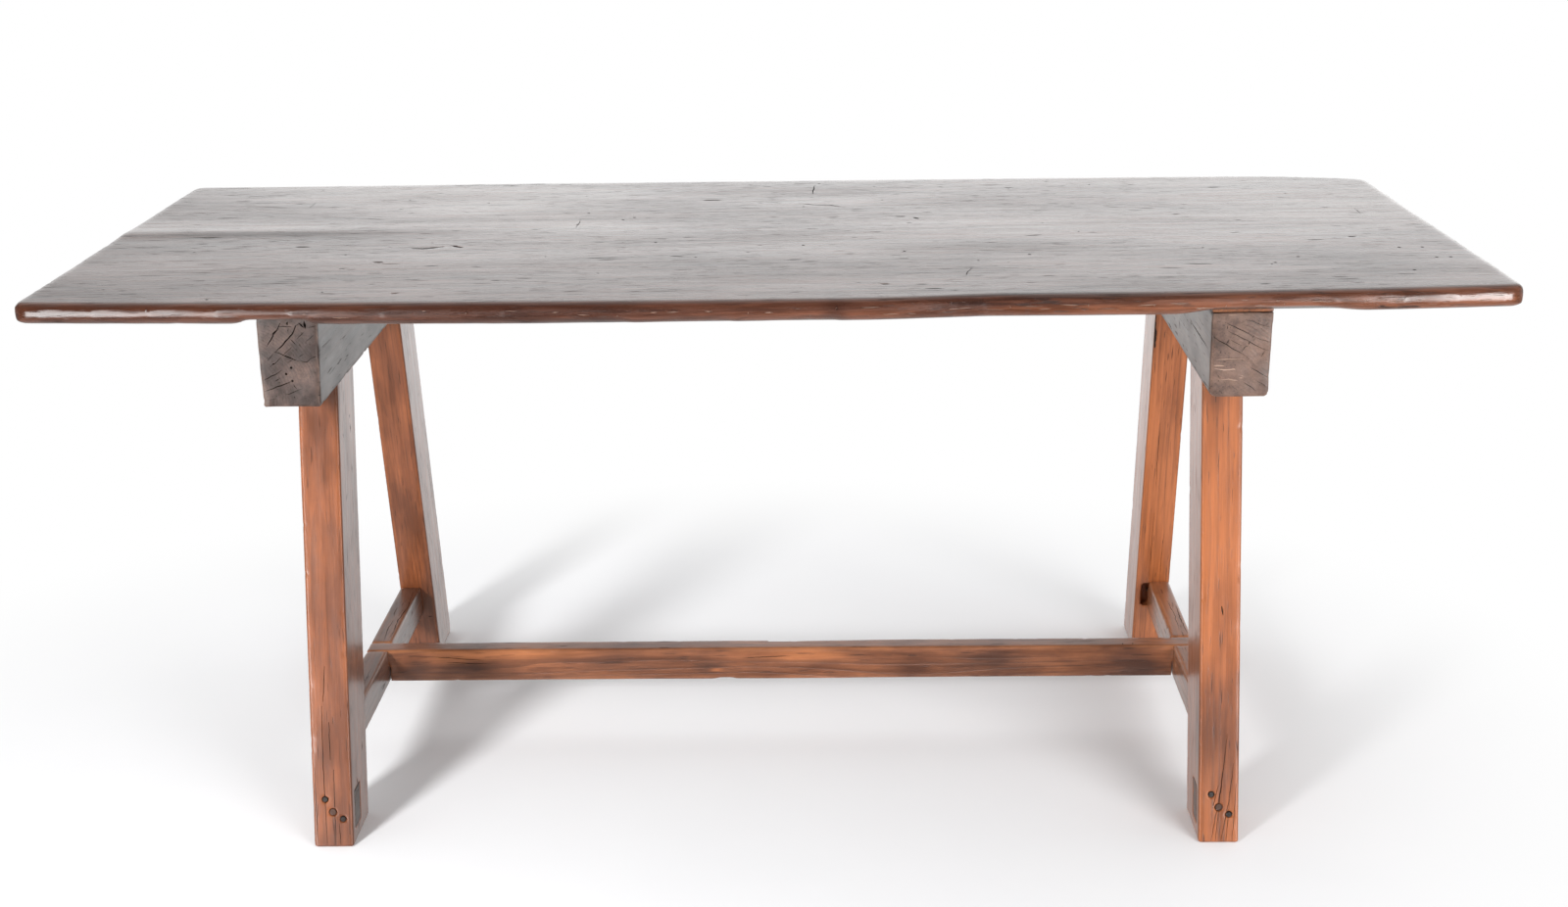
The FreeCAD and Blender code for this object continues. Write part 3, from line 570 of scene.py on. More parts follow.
def aged_and_painted_shade(tree, look, colour, tone, streaks, patches):
    """Darker where the tone is below 0, for stains and painted shade, a glow where it is above, and
    rubbed arrises.
    """
    stain_and_shade_by_streak = tree.span(streaks, *STAIN_AND_SHADE_BY_STREAK)
    glowing = tree.span(streaks, *GLOW_BY_STREAK)
    # The dark colour serves real stains and painted shade alike.
    darker = tree.math("MULTIPLY", tree.product(tone, -1.0), stain_and_shade_by_streak, clamp=True)
    brighter = tree.math("MULTIPLY", tone, glowing, clamp=True)
    colour = tree.mix(darker, colour, look["stain_and_shade"])
    colour = tree.mix(brighter, colour, look["glow"])
    rubbed = tree.span(patches, *RUB_SPAN, LEAST_RUB, look["wear_share"])
    rubbed = tree.math("MULTIPLY", tree.attribute("wear")["Fac"], rubbed, clamp=True)
    return tree.mix(rubbed, colour, look["worn"])


def wood_material(slot):
    look = {**COMMON, **LOOKS[slot]}
    material = bpy.data.materials.new(slot + "_wood")
    tree = Tree(material)
    plain = slot in PLAIN_COORDINATES
    grain = tree.add("TexCoord").outputs["Object"] if plain else tree.attribute("grain")["Vector"]
    tone = None if plain else tree.attribute("tone")["Fac"]
    layers = wood_layers(tree, grain, look)
    colour = wood_colour(tree, look, layers, tone)
    rough, coat = wood_gloss(tree, look, layers, tone)
    _, streaks, fibre, pore, rings = layers
    height = tree.weigh(*zip((fibre, streaks, pore, rings), look["relief"]))
    bump = tree.add("Bump", {"Strength": look["bump"], "Distance": look["bump_depth"], "Height": height})
    tree.finish(tree.add("BsdfPrincipled", {
        "Base Color": colour, "Roughness": rough, "Normal": bump.outputs[0], "IOR": WOOD_IOR,
        "Coat Weight": coat, "Coat Roughness": look["coat_roughness"], "Coat IOR": look["coat_ior"],
        "Coat Normal": bump.outputs[0],
    }))
    return material


WOODS = {slot: wood_material(slot) for slot in LOOKS}


# Wear: its noise has this many lumps per metre along the grain and across it

WAVE_SCALE = np.array([4.0, 12.0, 12.0])
RIDGE_SCALE = np.array([9.0, 75.0, 75.0])
ARRIS_SCALE = np.array([40.0, 60.0, 60.0])
RIDGE_SEED, ARRIS_SEED = 7, 3
ARRIS_FROM, ARRIS_PERCENTILE = 0.7, 99
NICK_REACH = (2.5, 7.0)
NICK_SHARE = (0.2, 1.0)
FLOOR_SLACK = 0.5 * MM
GRAIN_SHIFT = 3.7
SHARP_ANGLE = math.radians(50)

# How worn a timber is: depths in millimetres, and the number of nicks in its arrises

Wear = namedtuple("Wear", "wave ridge arris nicks nick_depth")


def wear_down(piece, axes, seed, wear, draw, hollow=None):
    """Sinks the surface of a piece by waves, ridges along the grain and nicks, never outwards."""
    mesh = piece.data
    points = read_vectors(mesh.vertices, "co")
    normals = read_vectors(mesh.vertex_normals, "vector")
    grain = points @ axes.T
    proud = proudness(mesh, points, normals)
    edge = np.clip(proud / max(np.percentile(proud, ARRIS_PERCENTILE), WELD), 0, 1)
    sunk = wear.wave * smooth_noise(grain * WAVE_SCALE, seed)
    sunk += wear.ridge * smooth_noise(grain * RIDGE_SCALE, seed + RIDGE_SEED)
    sunk += edge * wear.arris * smooth_noise(grain * ARRIS_SCALE, seed + ARRIS_SEED)
    arrises = np.flatnonzero(edge > ARRIS_FROM)
    for spot in draw.choice(arrises, min(wear.nicks, len(arrises)), replace=False):
        reach = draw.uniform(*NICK_REACH) * MM
        near = ((points - points[spot]) ** 2).sum(axis=1) / reach ** 2
        sunk += draw.uniform(*NICK_SHARE) * wear.nick_depth * np.exp(-near)
    moved = points - normals * sunk[:, None] * MM
    if hollow:
        moved = hollow(moved, normals)
    moved[:, 2] = np.where(points[:, 2] < FLOOR_SLACK, points[:, 2], moved[:, 2])
    mesh.vertices.foreach_set("co", moved.astype(np.float32).ravel())
    mesh.update()
    write_attribute(mesh, "wear", "FLOAT", edge)


def finish_piece(piece, node, slot, axes, seed, heart=(0.07, 0.05), spots=(), shade=None, tone=0.0):
    """Gives a piece the values that its material reads, and its place in the frame.

    The heart of the tree lies this far from the middle of the piece, across its grain. A spot darkens or
    lightens the tone, as stains, glows and painted shade: its place, its length along the grain, its
    breadth and its strength.
    """
    mesh = piece.data
    points = read_vectors(mesh.vertices, "co")
    grain = points @ axes.T
    tones = np.full(len(points), tone)
    for centre, length, breadth, strength in spots:
        gap = (grain - axes @ np.array(centre)) / np.array([length, breadth, breadth])
        tones += strength * np.exp(-(gap ** 2).sum(axis=1))
    if shade:
        tones += shade(points, read_vectors(mesh.vertex_normals, "vector"))
    middle = axes @ ((points.min(axis=0) + points.max(axis=0)) / 2)
    start = middle + np.array([seed * GRAIN_SHIFT, *heart])
    write_attribute(mesh, "grain", "FLOAT_VECTOR", grain - start)
    write_attribute(mesh, "tone", "FLOAT", tones)
    mesh.shade_smooth()
    mesh.set_sharp_from_angle(angle=SHARP_ANGLE)
    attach(piece, "root")
    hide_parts(node)


def age(piece, slot, axes, seed, wear, marks=None, hollow=None, pale_marks=None):
    """Turns a piece into worn wood, with dark marks and pale ones cut into it."""
    draw = np.random.default_rng(seed)
    wear_down(piece, axes, seed, wear, draw, hollow)
    piece.data.materials.append(WOODS[slot])
    if pale_marks:
        cut_marks(piece, draw, pale_marks, WOODS["sawn"])
    if marks:
        cut_marks(piece, draw, marks, WOODS["crack"])


def dress(node, slot, voxel, axes, seed, wear, marks=None, hollow=None, pale_marks=None, **looks):
    """Replaces a solid by worn wood."""
    piece = welded_copy(node, node + "_wood")
    even_out(piece, voxel)
    age(piece, slot, axes, seed, wear, marks, hollow, pale_marks)
    finish_piece(piece, node, slot, axes, seed, **looks)


# The top: two boards worn as one face, with a seam that opens towards the left end

TOP_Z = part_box("top_front_board")[1].z
SEAM_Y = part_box("top_front_board")[1].y
FRONT_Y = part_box("top_front_board")[0].y
STATIONS = np.linspace(-0.93, 0.93, 94)
SEAM_OPEN, UPWARD = (-0.93, -0.25), 0.5
RIDGE_BEHIND, RIDGE_REACH, RIDGE_HEIGHT = 22 * MM, 28 * MM, 1.3 * MM
EDGE_REACH = 45 * MM
STEP_DEPTH = 12 * MM
STEP_SLOPE, STEP_OF_SOLID = (0.12, 0.30), (0.2166, 0.2794)
ENDS_RISE, ENDS_FALL = (0.45, 0.75), (0.86, 0.925)
EDGE_UNDERCUT, UNDERCUT_BELOW = 3 * MM, (12 * MM, 30 * MM)
EDGE_FACET, FACET_SOFT, FACET_LEAN = 0.8 * MM, 1.5 * MM, 0.10
FACET_MIDDLE, FACET_BELOW = 13 * MM, (18 * MM, 27 * MM)
ARRIS_LIFT, LIFT_BELOW, LIFT_BEHIND = 6 * MM, (13 * MM, 27 * MM), (28 * MM, 44 * MM)
LIFT_RISE, LIFT_FALL = (0.50, 0.56), (0.66, 0.74)
EDGE_FACING = (0.2, 0.7)
# The upper band of the front edge is painted shade: how far below the top it runs, and how dark it is.
EDGE_PAINTED_SHADE, PAINTED_SHADE_TONE = (17 * MM, 9 * MM), 0.45
RUBBED_ALONG, RUBBED_LEAST, RUBBED_RISE = (-0.6, 0.6), -0.4, 0.9
EDGE_STAINS = (((0.238, -0.41, 0.746), 0.05, 0.02, -0.3), ((0.09, -0.41, 0.746), 0.012, 0.02, -0.6))


def front_line(points, places=None):
    """How far forward the front edge reaches beside each point, or at other places along the table."""
    nearest = np.searchsorted(STATIONS, points[:, 0]).clip(0, len(STATIONS) - 1)
    foremost = np.full(len(STATIONS), np.inf)
    np.minimum.at(foremost, nearest, points[:, 1])
    known = np.isfinite(foremost)
    middles = STATIONS - (STATIONS[1] - STATIONS[0]) / 2
    places = points[:, 0] if places is None else places
    return np.interp(places, middles[known], foremost[known])


def near_front(points):
    return 1 - ease(points[:, 1], FRONT_Y, FRONT_Y + EDGE_REACH)


def raise_seam(points, normals):
    """Towards the left end the back board stands up along the seam as a soft ridge."""
    x, y, z = points.T
    opened = 1 - ease(x, *SEAM_OPEN)
    ridge = np.exp(-((y - SEAM_Y - RIDGE_BEHIND) / RIDGE_REACH) ** 2)
    z -= RIDGE_HEIGHT * opened * (1 - ridge) * (normals[:, 2] > UPWARD)


def soften_step(points):
    """The step in the front edge is rubbed to a long slope."""
    x, y, _ = points.T
    worn = np.clip(ease(x, *STEP_SLOPE) - ease(x, *STEP_OF_SOLID), 0, 1)
    y += STEP_DEPTH * worn * near_front(points)


def rub_ends(points):
    """Towards both ends the front edge is rubbed to a narrow facet, and leans in below it."""
    x, y, z = points.T
    ends = between(np.abs(x), ENDS_RISE, ENDS_FALL) * near_front(points)
    below = TOP_Z - z
    y += EDGE_UNDERCUT * ease(below, *UNDERCUT_BELOW) * ends
    facet = front_line(points) + EDGE_FACET + FACET_LEAN * (FACET_MIDDLE - below)
    ahead = facet - y
    pressed = (ahead + np.hypot(ahead, FACET_SOFT)) / 2
    y += pressed * (1 - ease(below, *FACET_BELOW)) * ends


def lift_arris(points):
    """In front of the right beam the lower arris of the front edge is worn away."""
    x, y, z = points.T
    beside = between(x, LIFT_RISE, LIFT_FALL)
    outside = 1 - ease(y - FRONT_Y, *LIFT_BEHIND)
    z += ARRIS_LIFT * ease(TOP_Z - z, *LIFT_BELOW) * beside * outside


def top_hollow(points, normals):
    """Each step moves the points themselves."""
    raise_seam(points, normals)
    soften_step(points)
    rub_ends(points)
    lift_arris(points)
    return points


def front_edge_wear_and_painted_shade(points, normals):
    """The front edge gets painted shade along its upper part, and is rubbed to an orange brown below and
    to the right.
    """
    facing = ease(-normals[:, 1], *EDGE_FACING)
    # Painted shade: the upper rounding of the front edge is darkened for the dark room that it reflects.
    shade_from, shade_to = EDGE_PAINTED_SHADE
    high = ease(points[:, 2], TOP_Z - shade_from, TOP_Z - shade_to)
    rubbed = RUBBED_LEAST + RUBBED_RISE * ease(points[:, 0], *RUBBED_ALONG)
    return facing * (rubbed - PAINTED_SHADE_TONE * high)


# Marks of the top that stand out in the photograph: width, depth and places in millimetres

TOP_CRACKS = (
    (7, 3, (-655, -63), (-625, -64)), (6, 3, (-492, -82), (-470, -88), (-440, -74)),
    (7, 3, (-440, -72), (-432, -70), (-416, -86)), (6, 3, (-560, -205), (-548, -202)),
    (7, 2.5, (-522, -169), (-506, -171)), (4, 2.5, (-560, -341), (-525, -346)),
    (5, 2.5, (-462, -352), (-450, -343)), (1.6, 2, (-840, -109), (-770, -113), (-690, -115)),
    (1.6, 2, (-900, -50), (-800, -54)), (1.3, 3, (-278, 114), (-276, 78), (-277, 38)),
    (1.8, 3, (59, 343), (57, 300), (56, 260)), (4, 2.5, (50, 248), (60, 248)),
    (4, 2.5, (32, 203), (60, 185), (80, 184), (112, 161)), (6, 2.5, (-110, 232), (-80, 231)),
    (1.6, 3, (267, -237), (258, -266), (253, -294)), (1.4, 3, (-700, 271), (-698, 205)),
    (1.4, 3, (-714, 341), (-709, 378)), (5, 2.5, (175, 92), (192, 92)),
    (7, 3, (202, 86), (210, 72)), (5, 2.5, (778, -87), (792, -83)),
    (3, 2.5, (815, 78), (848, 78)), (1.4, 2.5, (834, 112), (834, 70)),
    (6, 2.5, (145, -330), (160, -330)), (2.2, 2, (420, 216), (500, 212)),
)
TOP_HOLES = (
    (-270, 145), (-277, 65), (-155, -65), (-215, 95), (-200, 110), (182, -140), (47, -95), (345, -169),
    (688, -204), (830, -155), (860, -155), (862, -216), (880, -216), (815, -287), (652, -236),
)
TOP_HOLE_WIDTH = 5.0


def known_top_marks(shape, draw):
    face = Face((0, 0, TOP_Z), (1, 0, 0), (0, 1, 0))
    for width, depth, *places in TOP_CRACKS:
        face.crack(shape, draw, places, width, depth)
    for place in TOP_HOLES:
        face.hole(shape, place, TOP_HOLE_WIDTH)


# Marks scattered over the top and along its front edge, with widths and lengths in millimetres

SCATTERED, HOLE_EVERY = 160, 4
SCATTER_X, SCATTER_Y = (-0.86, 0.84), (-0.37, 0.36)
GAP_ALONG, GAP_ACROSS, SEAM_GAP = 80 * MM, 7 * MM, 6 * MM
HOLE_WIDTHS, CHECK_WIDTHS, CHECK_DEPTH = (1.8, 4.5), (1.2, 4.5), 3
CHECK_LENGTH, LONGEST_HALF, CHECK_DRIFT, CHECK_SWAY = (2.0, 0.5), 30, 0.05, 0.2
SCRATCHES, UPRIGHT_EVERY = 56, 4
SCRATCH_FROM, SCRATCH_RUN, SCRATCH_JITTER = -0.86, 1.76, (0.1, 0.9)
SCRATCH_HALF, SCRATCH_BELOW, SCRATCH_RISE = (1.5, 14), (9, 20), 0.6
UPRIGHT_LEAN, UPRIGHT_RISE = 0.5, (2, 5)
SCRATCH_WIDTH, SCRATCH_DEPTH, SCRATCH_SWAY = 1.3, 1.8, 0.15


def top_marks(shape, draw):
    """The known marks, and short checks and worm holes scattered clear of each other."""
    known_top_marks(shape, draw)
    taken = []
    while len(taken) < SCATTERED:
        x, y = draw.uniform(*SCATTER_X), draw.uniform(*SCATTER_Y)
        if any(abs(x - other) < GAP_ALONG and abs(y - beside) < GAP_ACROSS for other, beside in taken):
            continue
        if abs(y - SEAM_Y) < SEAM_GAP:
            continue
        taken.append((x, y))
        if len(taken) % HOLE_EVERY == 0:
            add_hole(shape, (x, y, TOP_Z), (0, 0, 1), draw.uniform(*HOLE_WIDTHS) * MM)
        else:
            add_check(shape, draw, x, y)


def add_check(shape, draw, x, y):
    """Adds a short check along the grain of the top."""
    half = min(draw.lognormal(*CHECK_LENGTH), LONGEST_HALF) * MM
    drift = draw.normal(0, CHECK_DRIFT) * half
    ends = [Vector((x - half, y - drift, TOP_Z)), Vector((x + half, y + drift, TOP_Z))]
    path = wander(ends, CHECK_SWAY * MM, draw)
    add_crack(shape, path, (0, 0, 1), draw.uniform(*CHECK_WIDTHS) * MM, CHECK_DEPTH * MM)


def edge_scratches(whole):
    """Pale scratches along the front edge, most of them to the right, as a function for cut_marks."""
    def add(shape, draw):
        points = read_vectors(whole.data.vertices, "co")
        for k in range(SCRATCHES):
            upright = k % UPRIGHT_EVERY == 0
            share = (k + draw.uniform(*SCRATCH_JITTER)) / SCRATCHES
            x = SCRATCH_FROM + SCRATCH_RUN * math.sqrt(share)
            half = draw.uniform(*SCRATCH_HALF) * MM
            ends = np.array([x, x + UPRIGHT_LEAN * MM]) if upright else np.array([x - half, x + half])
            y = front_line(points, ends)
            low = TOP_Z - draw.uniform(*SCRATCH_BELOW) * MM
            rise = draw.uniform(*UPRIGHT_RISE) * MM if upright else draw.normal(0, SCRATCH_RISE) * MM
            path = [Vector((ends[0], y[0], low)), Vector((ends[1], y[1], low + rise))]
            path = wander(path, SCRATCH_SWAY * MM, draw)
            add_crack(shape, path, (0, -1, 0), SCRATCH_WIDTH * MM, SCRATCH_DEPTH * MM)
    return add


def half_board(whole, node, side):
    """One board: the part of the whole top that lies on one side of the seam."""
    piece = bpy.data.objects.new(node + "_wood", whole.data.copy())
    scene.collection.objects.link(piece)
    half = block((0, SEAM_Y + side * FAR, 0), FAR)
    half.data.materials.append(WOODS["top_board"])
    combine(piece, half, "INTERSECT")
    return piece


def make_top():
    whole = welded_copy("top_front_board", "whole_top")
    combine(whole, welded_copy("top_back_board", "other_board"), "UNION")
    even_out(whole, BOARD_VOXEL, rubs=3)
    wear = Wear(wave=0.8, ridge=0.12, arris=0.25, nicks=80, nick_depth=1.0)
    age(whole, "top_board", ALONG_X, 1, wear, top_marks, top_hollow, edge_scratches(whole))
    for seed, node, side in ((1, "top_front_board", -1), (2, "top_back_board", 1)):
        piece = half_board(whole, node, side)
        finish_piece(piece, node, "top_board", ALONG_X, seed, spots=EDGE_STAINS, shade=front_edge_wear_and_painted_shade)
    bpy.data.objects.remove(whole)


# The beams: dark, with checked end grain

# A crack in an end has a width, a depth and places in millimetres from its lower left corner
LEFT_END_CRACKS = (
    (2.2, 12, (58, 111), (51, 106), (45, 95), (39, 89), (33, 83), (26, 76), (21, 72)),
    (1.8, 9, (20, 73), (33, 68), (40, 64), (49, 61)), (1.2, 6, (49, 61), (60, 59), (66, 64), (77, 67)),
    (1.8, 8, (33, 112), (28, 103), (23, 97), (16, 86), (11, 79)), (3.6, 7, (19, 95), (27, 101)),
    (1.1, 5, (25, 105), (46, 105)), (3.2, 8, (41, 112), (40, 106)), (1.4, 5, (41, 104), (40, 97)),
    (4.6, 9, (61, 112), (62, 102)), (3.0, 7, (54, 110), (60, 103)), (1.4, 5, (65, 103), (77, 106)),
    (1.1, 5, (49, 87), (61, 99)), (1.0, 5, (61, 85), (73, 95)), (1.2, 5, (42, 89), (49, 81)),
    (1.0, 5, (27, 65), (38, 75), (43, 79)), (0.9, 5, (10, 60), (20, 71)),
    (1.0, 5, (12, 52), (29, 66)), (0.9, 5, (35, 58), (45, 64)), (1.0, 5, (49, 65), (58, 70)),
    (1.4, 7, (3, 36), (12, 40), (18, 43), (29, 50)), (1.4, 5, (18, 35), (25, 39)),
    (1.5, 8, (2, 21), (14, 25), (25, 29), (40, 35)), (1.4, 5, (41, 31), (45, 24)),
    (1.0, 5, (29, 17), (40, 20), (52, 25)), (1.3, 4, (40, 15), (41, 11)),
    (0.9, 4, (69, 16), (77, 15)), (0.9, 4, (6, 10), (19, 12)),
)
LEFT_END_HOLES = (((40, 52), 3.4), ((33, 44), 3.4), ((40, 35), 3.4), ((18, 57), 2.2))
# A check in a side has places along it and up
LEFT_SIDE_CHECKS = (
    ((4, 32), (140, 36)), ((6, 70), (90, 73)), ((40, 50), (200, 54)), ((150, 20), (330, 23)),
    ((60, 88), (160, 86)), ((260, 62), (400, 60)),
)
RIGHT_END_CRACKS = (
    (1.5, 7, (1, 81), (5, 77), (19, 68), (38, 57), (49, 50)),
    (1.4, 7, (49, 39), (58, 34), (67, 29), (75, 24)), (1.4, 7, (16, 97), (28, 91), (39, 85), (51, 79)),
    (0.9, 4, (51, 79), (62, 74), (77, 69)),
    (1.3, 6, (19, 87), (34, 79), (46, 73), (54, 68), (65, 62), (78, 58)),
    (0.9, 4, (38, 101), (49, 98), (58, 94), (77, 88)), (0.9, 4, (23, 75), (40, 66)),
    (1.4, 5, (20, 94), (19, 87)), (1.4, 5, (19, 69), (23, 75)),
    (1.5, 5, (38, 58), (42, 65), (46, 66)), (1.7, 5, (46, 66), (48, 73)),
    (1.2, 4, (50, 76), (53, 80)), (1.6, 5, (62, 51), (67, 60)), (1.5, 6, (42, 20), (52, 14), (59, 7)),
    (0.9, 4, (56, 23), (67, 17), (74, 12)), (0.9, 4, (22, 20), (38, 8)), (1.4, 5, (9, 31), (14, 25)),
    (1.1, 4, (69, 33), (77, 38)),
)
RIGHT_SIDE_CHECKS = (
    ((-338, 12), (-301, 10)), ((-143, 6), (-127, 5)), ((-69, 7), (-48, 5)), ((-249, 41), (-234, 27)),
    ((-160, 60), (-20, 58)), ((-300, 82), (-140, 80)),
)
SAW_MARKS = (
    ((5, 49), (24, 50), (48, 49)), ((2, 42), (20, 41)), ((3, 38), (18, 36), (30, 37), (34, 34)),
    ((37, 29), (45, 27)), ((35, 26), (44, 25)), ((6, 23), (24, 24), (38, 22)), ((64, 47), (77, 45)),
    ((16, 106), (38, 105)), ((60, 105), (77, 106)),
)
LEFT_CRACK_SHARE, RIGHT_CRACK_SHARE = 0.85, 0.7
HEWN_BACK, HEWN_REACH = 2.8 * MM, 10 * MM


def end_face(node):
    """The front end of a beam, seen from the front."""
    low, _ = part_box(node)
    return Face(low, (1, 0, 0), (0, 0, 1))


def left_beam_marks(shape, draw):
    """Rays and ring cracks of the front end, worm holes, and checks along the inner side."""
    end = end_face("left_beam")
    for width, depth, *places in LEFT_END_CRACKS:
        end.crack(shape, draw, places, LEFT_CRACK_SHARE * width, depth, sway=0.4)
    for place, width in LEFT_END_HOLES:
        end.hole(shape, place, width)
    low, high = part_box("left_beam")
    side = Face((high.x, low.y, low.z), (0, 1, 0), (0, 0, 1))
    side.alike(shape, draw, LEFT_SIDE_CHECKS, width=1.4, depth=4)


def right_beam_marks(shape, draw):
    """Ring cracks of the front end with short rays between them, and checks in the inner side."""
    end = end_face("right_beam")
    for width, depth, *places in RIGHT_END_CRACKS:
        end.crack(shape, draw, places, RIGHT_CRACK_SHARE * width, depth, sway=0.3)
    low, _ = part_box("right_beam")
    side = Face(low, (0, -1, 0), (0, 0, 1))
    side.alike(shape, draw, RIGHT_SIDE_CHECKS, width=1.8, depth=5)


def right_beam_hollow(points, normals):
    """The outer side of the right beam and its strip is hewn back to the ends of the pegs."""
    _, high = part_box("right_beam")
    points[:, 0] -= HEWN_BACK * (1 - ease(high.x - points[:, 0], 0, HEWN_REACH))
    return points


def right_beam_saw_marks(shape, draw):
    """Pale strokes of a saw across the front end."""
    end_face("right_beam").alike(shape, draw, SAW_MARKS, width=2.6, depth=1.2, sway=0.2)


def make_beams():
    wear = Wear(wave=0.9, ridge=0.5, arris=0.8, nicks=50, nick_depth=1.2)
    dress(
        "left_beam", "beam", TIMBER_VOXEL, ALONG_Y, 3, wear, left_beam_marks,
        heart=(-0.087, 0.057), tone=-0.42,
    )
    dress(
        "right_beam", "beam", TIMBER_VOXEL, ALONG_Y, 4, wear, right_beam_marks, right_beam_hollow,
        pale_marks=right_beam_saw_marks, heart=(-0.12, 0.2), tone=0.25,
    )
    strip = Wear(wave=0.3, ridge=0.15, arris=0.3, nicks=14, nick_depth=0.6)
    dress("right_packing_strip", "packing", FINE_VOXEL, ALONG_Y, 13, strip, hollow=right_beam_hollow)


# The legs: orange brown, with grain that opens towards the feet

FOOT_GRAIN_DEPTH, FOOT_GRAIN_SWAY = 2.5, 0.2


def leg_front(node):
    """The front face of a leg, from its lower left corner."""
    points = solid_points(node)
    corner = points[points[:, 2] < MM].min(axis=0)
    return Face(corner, (1, 0, 0), leg_direction(node))


def inner_side(node):
    """The side of a leg that faces the other trestle, with places from the middle of the table."""
    low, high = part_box(node)
    if "left" in node:
        return Face((high.x, 0, 0), (0, 1, 0), (0, 0, 1))
    return Face((low.x, 0, 0), (0, -1, 0), (0, 0, 1))


def front_left_marks(shape, draw):
    """Open grain in the foot, and gouges in the inner side."""
    leg_front("front_left_leg").cracks(shape, draw, (
        (0.55, (16, 194), (15, 110), (17, 6)), (0.5, (29, 107), (29, 4)), (0.5, (34, 33), (35, 3)),
        (0.5, (3, 110), (4, 14)), (0.5, (22, 248), (18, 200)), (0.6, (25, 172), (25, 120)),
    ), FOOT_GRAIN_DEPTH, FOOT_GRAIN_SWAY)
    inner_side("front_left_leg").cracks(shape, draw, (
        (3.0, (-270, 112), (-275, 99)), (3.4, (-318, 82), (-315, 69)), (2.6, (-325, 19), (-331, 9)),
        (2.4, (-186, 556), (-188, 550)), (3.0, (-188, 544), (-189, 530)),
        (2.0, (-230, 543), (-231, 536)), (2.4, (-197, 490), (-199, 476)),
        (1.6, (-236, 460), (-245, 451)),
    ), depth=5)


def front_right_marks(shape, draw):
    """Open grain that leans in the foot, and two gouges in the inner side."""
    leg_front("front_right_leg").cracks(shape, draw, (
        (0.55, (36, 148), (34, 124), (28, 72), (16, 3)), (0.55, (45, 109), (39, 57), (29, 3)),
        (0.5, (49, 81), (44, 3)), (0.5, (25, 78), (18, 48)), (1.4, (27, 320), (29, 308)),
        (0.5, (31, 96), (25, 40), (22, 3)), (0.45, (40, 60), (36, 3)),
    ), FOOT_GRAIN_DEPTH, FOOT_GRAIN_SWAY)
    inner = inner_side("front_right_leg")
    inner.crack(shape, draw, ((308, 60), (321, 12)), width=2.2, depth=6)
    inner.crack(shape, draw, ((188, 560), (197, 547)), width=2.2, depth=5)


def back_left_marks(shape, draw):
    """Two checks in the inner side, and a scratch across the foot."""
    inner_side("back_left_leg").cracks(shape, draw, (
        (1.6, (330, 190), (350, 95)), (1.2, (300, 330), (312, 270)),
    ), depth=4)
    front = leg_front("back_left_leg")
    front.crack(shape, draw, ((39, 74), (46, 74)), width=1.2, depth=2, sway=0.1)


def back_right_marks(shape, draw):
    """A long gouge and checks in the inner side, and fine checks in front."""
    inner_side("back_right_leg").cracks(shape, draw, (
        (3.4, (-168, 600), (-182, 522)), (1.6, (-215, 480), (-238, 370)),
        (1.4, (-250, 330), (-268, 250)),
    ), depth=5)
    leg_front("back_right_leg").alike(shape, draw, (
        ((19, 135), (20, 260)), ((37, 133), (37, 230)), ((19, 300), (18, 420)),
    ), width=0.6, depth=2.5, sway=0.4)


# Marks, heart, tone and spots of each leg

LEGS = (
    ("front_left_leg", front_left_marks, (0.03, 0.11), -0.38, (
        ((-0.571, -0.242, 0.60), 0.035, 0.012, -0.9), ((-0.578, -0.260, 0.515), 0.014, 0.010, -0.5),
        ((-0.585, -0.264, 0.495), 0.016, 0.010, -0.5), ((-0.593, -0.250, 0.560), 0.020, 0.012, -0.5),
        ((-0.594, -0.336, 0.142), 0.030, 0.010, -0.7), ((-0.60, -0.27, 0.44), 0.05, 0.02, 0.3),
    )),
    ("back_left_leg", back_left_marks, (0.06, -0.06), -0.25, (
        ((-0.60, 0.20, 0.48), 0.05, 0.02, -0.4), ((-0.58, 0.24, 0.22), 0.06, 0.02, -0.5),
        # The strong dark spot at 0.100 up, beside the cross stretcher, is painted shadow of the stretcher
        # over the mark of an old mortise.
        ((-0.574, 0.268, 0.100), 0.030, 0.009, -2.4), ((-0.60, 0.13, 0.59), 0.03, 0.03, 0.3),
        ((-0.60, 0.275, 0.06), 0.03, 0.03, -0.5),
    )),
    ("front_right_leg", front_right_marks, (-0.10, 0.13), 0.5, (
        ((0.592, -0.338, 0.14), 0.075, 0.04, -1.1), ((0.58, -0.245, 0.585), 0.02, 0.02, -0.5),
        ((0.60, -0.30, 0.30), 0.05, 0.015, -0.4), ((0.585, -0.28, 0.42), 0.07, 0.02, 0.25),
    )),
    ("back_right_leg", back_right_marks, (0.11, 0.04), 0.55, (
        # The dark spot at 0.11 up, beside the cross stretcher, is painted shadow of the stretcher over
        # staining.
        ((0.60, 0.22, 0.40), 0.08, 0.02, -0.35), ((0.578, 0.255, 0.11), 0.03, 0.02, -0.7),
    )),
)


def make_legs():
    wear = Wear(wave=0.4, ridge=0.2, arris=0.2, nicks=24, nick_depth=0.9)
    for seed, (node, marks, heart, tone, spots) in enumerate(LEGS, 5):
        axes = axes_along(leg_direction(node), (1, 0, 0))
        voxel = FINE_VOXEL if node.startswith("front") else TIMBER_VOXEL
        dress(
            node, "leg", voxel, axes, seed, wear, marks,
            heart=heart, spots=spots, tone=tone,
        )


# The stretchers

SPLIT_START, SPLIT_END, SPLIT_DEPTH, SPLIT_FADE = -0.016, 0.16, 6 * MM, 1.5
SPLIT_BELOW, SPLIT_BEHIND = (14 * MM, 6 * MM), (9 * MM, 1 * MM)
CHIP_X, CHIP_HALF, CHIP_DEPTH = -0.08, 14 * MM, 2.5 * MM
CHIP_HEIGHT, CHIP_BREADTH, CHIP_FLATNESS = 6 * MM, 9 * MM, 4
CROSS_SPLIT_DEPTH, CROSS_SPLIT_SWAY = 3, 0.5


